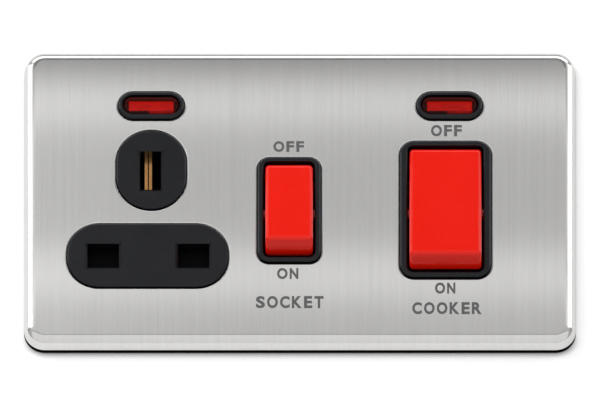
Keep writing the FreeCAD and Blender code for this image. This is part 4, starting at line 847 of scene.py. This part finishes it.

# %% [markdown]
# ## Light and backdrop
# The unit is held on a pale wall. The camera, metal and clear pieces see the wall lifted to white,
# and it keeps the object's shadow. Under the plate the wall is painted near black, a painted shade in
# the gap, and just below the plate's lower edge the lift fades, a painted shadow.

# %% Light


def soft_box(name, place, width, height, brightness, aim=(0, 0, 0), use="both"):
    """A rectangular soft box at place, turned to aim.

    Its energy is pi times brightness times its area, so one brightness looks alike at any size. Its
    use is "mirror" for a card that shows in gloss and lights nothing matt, "fill" for a lamp that
    gloss doesn't show, and "both" for a plain soft box.
    """
    data = bpy.data.lights.new(name, "AREA")
    data.shape = "RECTANGLE"
    data.size = width
    data.size_y = height
    data.energy = brightness * math.pi * width * height
    lamp = linked(name, data)
    lamp.location = place
    lamp.rotation_mode = "QUATERNION"
    lamp.rotation_quaternion = (Vector(aim) - Vector(place)).to_track_quat("-Z", "Y")
    lamp.visible_camera = False
    lamp.visible_diffuse = use != "mirror"
    lamp.visible_glossy = use != "fill"
    return lamp


def sky(stops):
    """A world whose brightness depends on height alone: stops are (degrees above level, grey)."""
    world = bpy.data.worlds.new("studio")
    world.use_nodes = True
    bpy.context.scene.world = world
    tree_nodes, links = world.node_tree.nodes, world.node_tree.links
    place = tree_nodes.new("ShaderNodeTexCoord")
    parts = tree_nodes.new("ShaderNodeSeparateXYZ")
    ramp = tree_nodes.new("ShaderNodeValToRGB")
    links.new(place.outputs["Generated"], parts.inputs["Vector"])
    half = tree_nodes.new("ShaderNodeMapRange")
    half.inputs["From Min"].default_value = -1.0
    links.new(parts.outputs["Z"], half.inputs["Value"])
    links.new(half.outputs["Result"], ramp.inputs["Fac"])
    spots = ramp.color_ramp.elements
    while len(spots) < len(stops):
        spots.new(0.5)
    for spot, (degrees, grey) in zip(spots, stops):
        spot.position = (1 + math.sin(math.radians(degrees))) / 2
        spot.color = (grey, grey, grey, 1)
    links.new(ramp.outputs["Color"], tree_nodes["Background"].inputs["Color"])
    return world


sky([(-90, 0.45), (7, 0.5), (12, 0.22), (44, 0.22), (50, 0.5), (90, 0.5)])
soft_box("front panel", (0, -0.3, 0.098), 1.0, 0.156, 0.40, (0, 0, 0.098))
soft_box("left panel", (-0.21, -0.27, 0.091), 0.3, 0.14, 0.17, (-0.21, 0, 0.091), "mirror")
soft_box("upper band strip", (0, -0.22, 0.128), 0.9, 0.012, 0.5, (0, 0, 0.128), "mirror")
soft_box("lower band strip", (0, -0.22, 0.0775), 0.9, 0.014, 0.42, (0, 0, 0.0775), "mirror")
soft_box("low card", (0, -0.25, -0.22), 1.2, 0.56, 0.48, (0, 0, -0.04), "mirror")
soft_box("left box", (-0.37, -0.18, 0.19), 0.32, 0.22, 1.8)
soft_box("right box", (0.37, -0.18, 0.19), 0.32, 0.22, 1.6)
soft_box("top box", (0, -0.30, 0.50), 0.9, 0.24, 1.8, use="mirror")
soft_box("key light", (-0.2, -0.55, 0.22), 0.6, 0.4, 2.5, use="fill")


# The strength added to the wall for the rays that see it lifted, and the two paints: the wall's, and a
# near black painted shade under the plate.
WALL_LIFT = 0.42
WALL_PAINT, UNDER_PLATE_SHADE = (0.75, 0.75, 0.75), (0.01, 0.01, 0.01)


def wall_finish():
    """Matt pale paint, which the camera, metal and clear pieces all see lifted to white.

    It keeps the shadow of the unit, and adds painted shade: near black and unlifted under the plate,
    and less lifted just below its lower edge, a painted shadow. From behind it is clear.
    """
    material, tree_nodes, links, shader = new_material("pale wall")
    path = tree_nodes.new("ShaderNodeLightPath")
    share = tree_nodes.new("ShaderNodeAttribute")
    share.attribute_name = "lift"
    # Under the plate the paint is near black: painted shade in the gap.
    outside = spread(tree_nodes, links, share.outputs["Fac"], 0, 1, -0.6, -0.1)
    links.new(tint(tree_nodes, links, outside, UNDER_PLATE_SHADE, WALL_PAINT), shader.inputs["Base Color"])
    shader.inputs["Roughness"].default_value = 0.9
    shader.inputs["Specular IOR Level"].default_value = 0.0
    lift = None
    for ray in ("Is Camera Ray", "Is Transmission Ray", "Is Glossy Ray"):
        lift = scaled(tree_nodes, links, path.outputs[ray], WALL_LIFT, lift)
    lifted = tree_nodes.new("ShaderNodeMath")
    lifted.operation = "MULTIPLY"
    lifted.use_clamp = True
    links.new(lift, lifted.inputs[0])
    links.new(share.outputs["Fac"], lifted.inputs[1])
    shader.inputs["Emission Color"].default_value = (1, 1, 1, 1)
    links.new(lifted.outputs["Value"], shader.inputs["Emission Strength"])
    clear = tree_nodes.new("ShaderNodeBsdfTransparent")
    side = tree_nodes.new("ShaderNodeNewGeometry")
    either = tree_nodes.new("ShaderNodeMixShader")
    links.new(side.outputs["Backfacing"], either.inputs["Fac"])
    links.new(shader.outputs["BSDF"], either.inputs[1])
    links.new(clear.outputs["BSDF"], either.inputs[2])
    output = tree_nodes["Material Output"]
    links.new(either.outputs["Shader"], output.inputs["Surface"])
    return material


# Millimetres: the wall's place, its rings outwards, the fade of the painted shadow below the plate, and
# where the lower edge counts.
WALL_Y = 0.3
WALL_INSETS = [1.2, 0.05, -0.05, -0.4, -0.8, -1.2, -1.6, -3, -20, -3000]
FADE = 1.6
LOW_FROM, LOW_SPAN = 38, 4


def wall():
    """A large flat wall at the back of the plate, facing the front, open where the wall box is.

    Its "lift" is -1 under the plate, where the wall is painted near black as painted shade, and 1 away
    from it. Below the plate it grows over FADE, as 1 - w (1 - d / FADE), with d the distance from the
    outline and w from 0 to 1 on the lower edge: a painted shadow along that edge.
    """
    skin = Skin().add_grid(sweep(PLATE, [(inset, WALL_Y) for inset in WALL_INSETS]))
    piece = skin.build("wall", wall_finish())
    if piece.data.polygons[0].normal.y > 0:
        piece.data.flip_normals()
    x, _, z = points_of(piece.data).T / MM
    width, height, radius = PLATE[2:]
    over = np.abs(np.stack([x, z])) - np.array([[width / 2], [height / 2]]) + radius
    away = np.hypot(*np.maximum(over, 0)) - radius
    # The painted shadow: the lift is less close below the plate's lower edge.
    low_edge = np.clip((-z - LOW_FROM) / LOW_SPAN, 0, 1)
    near = np.clip(away / FADE, 0, 1)
    share = np.where(away < 0, -1.0, 1 - low_edge * (1 - near))
    piece.data.attributes.new("lift", "FLOAT", "POINT").data.foreach_set("value", share)
    return piece


wall()

bpy.context.scene.view_settings.view_transform = "Standard"
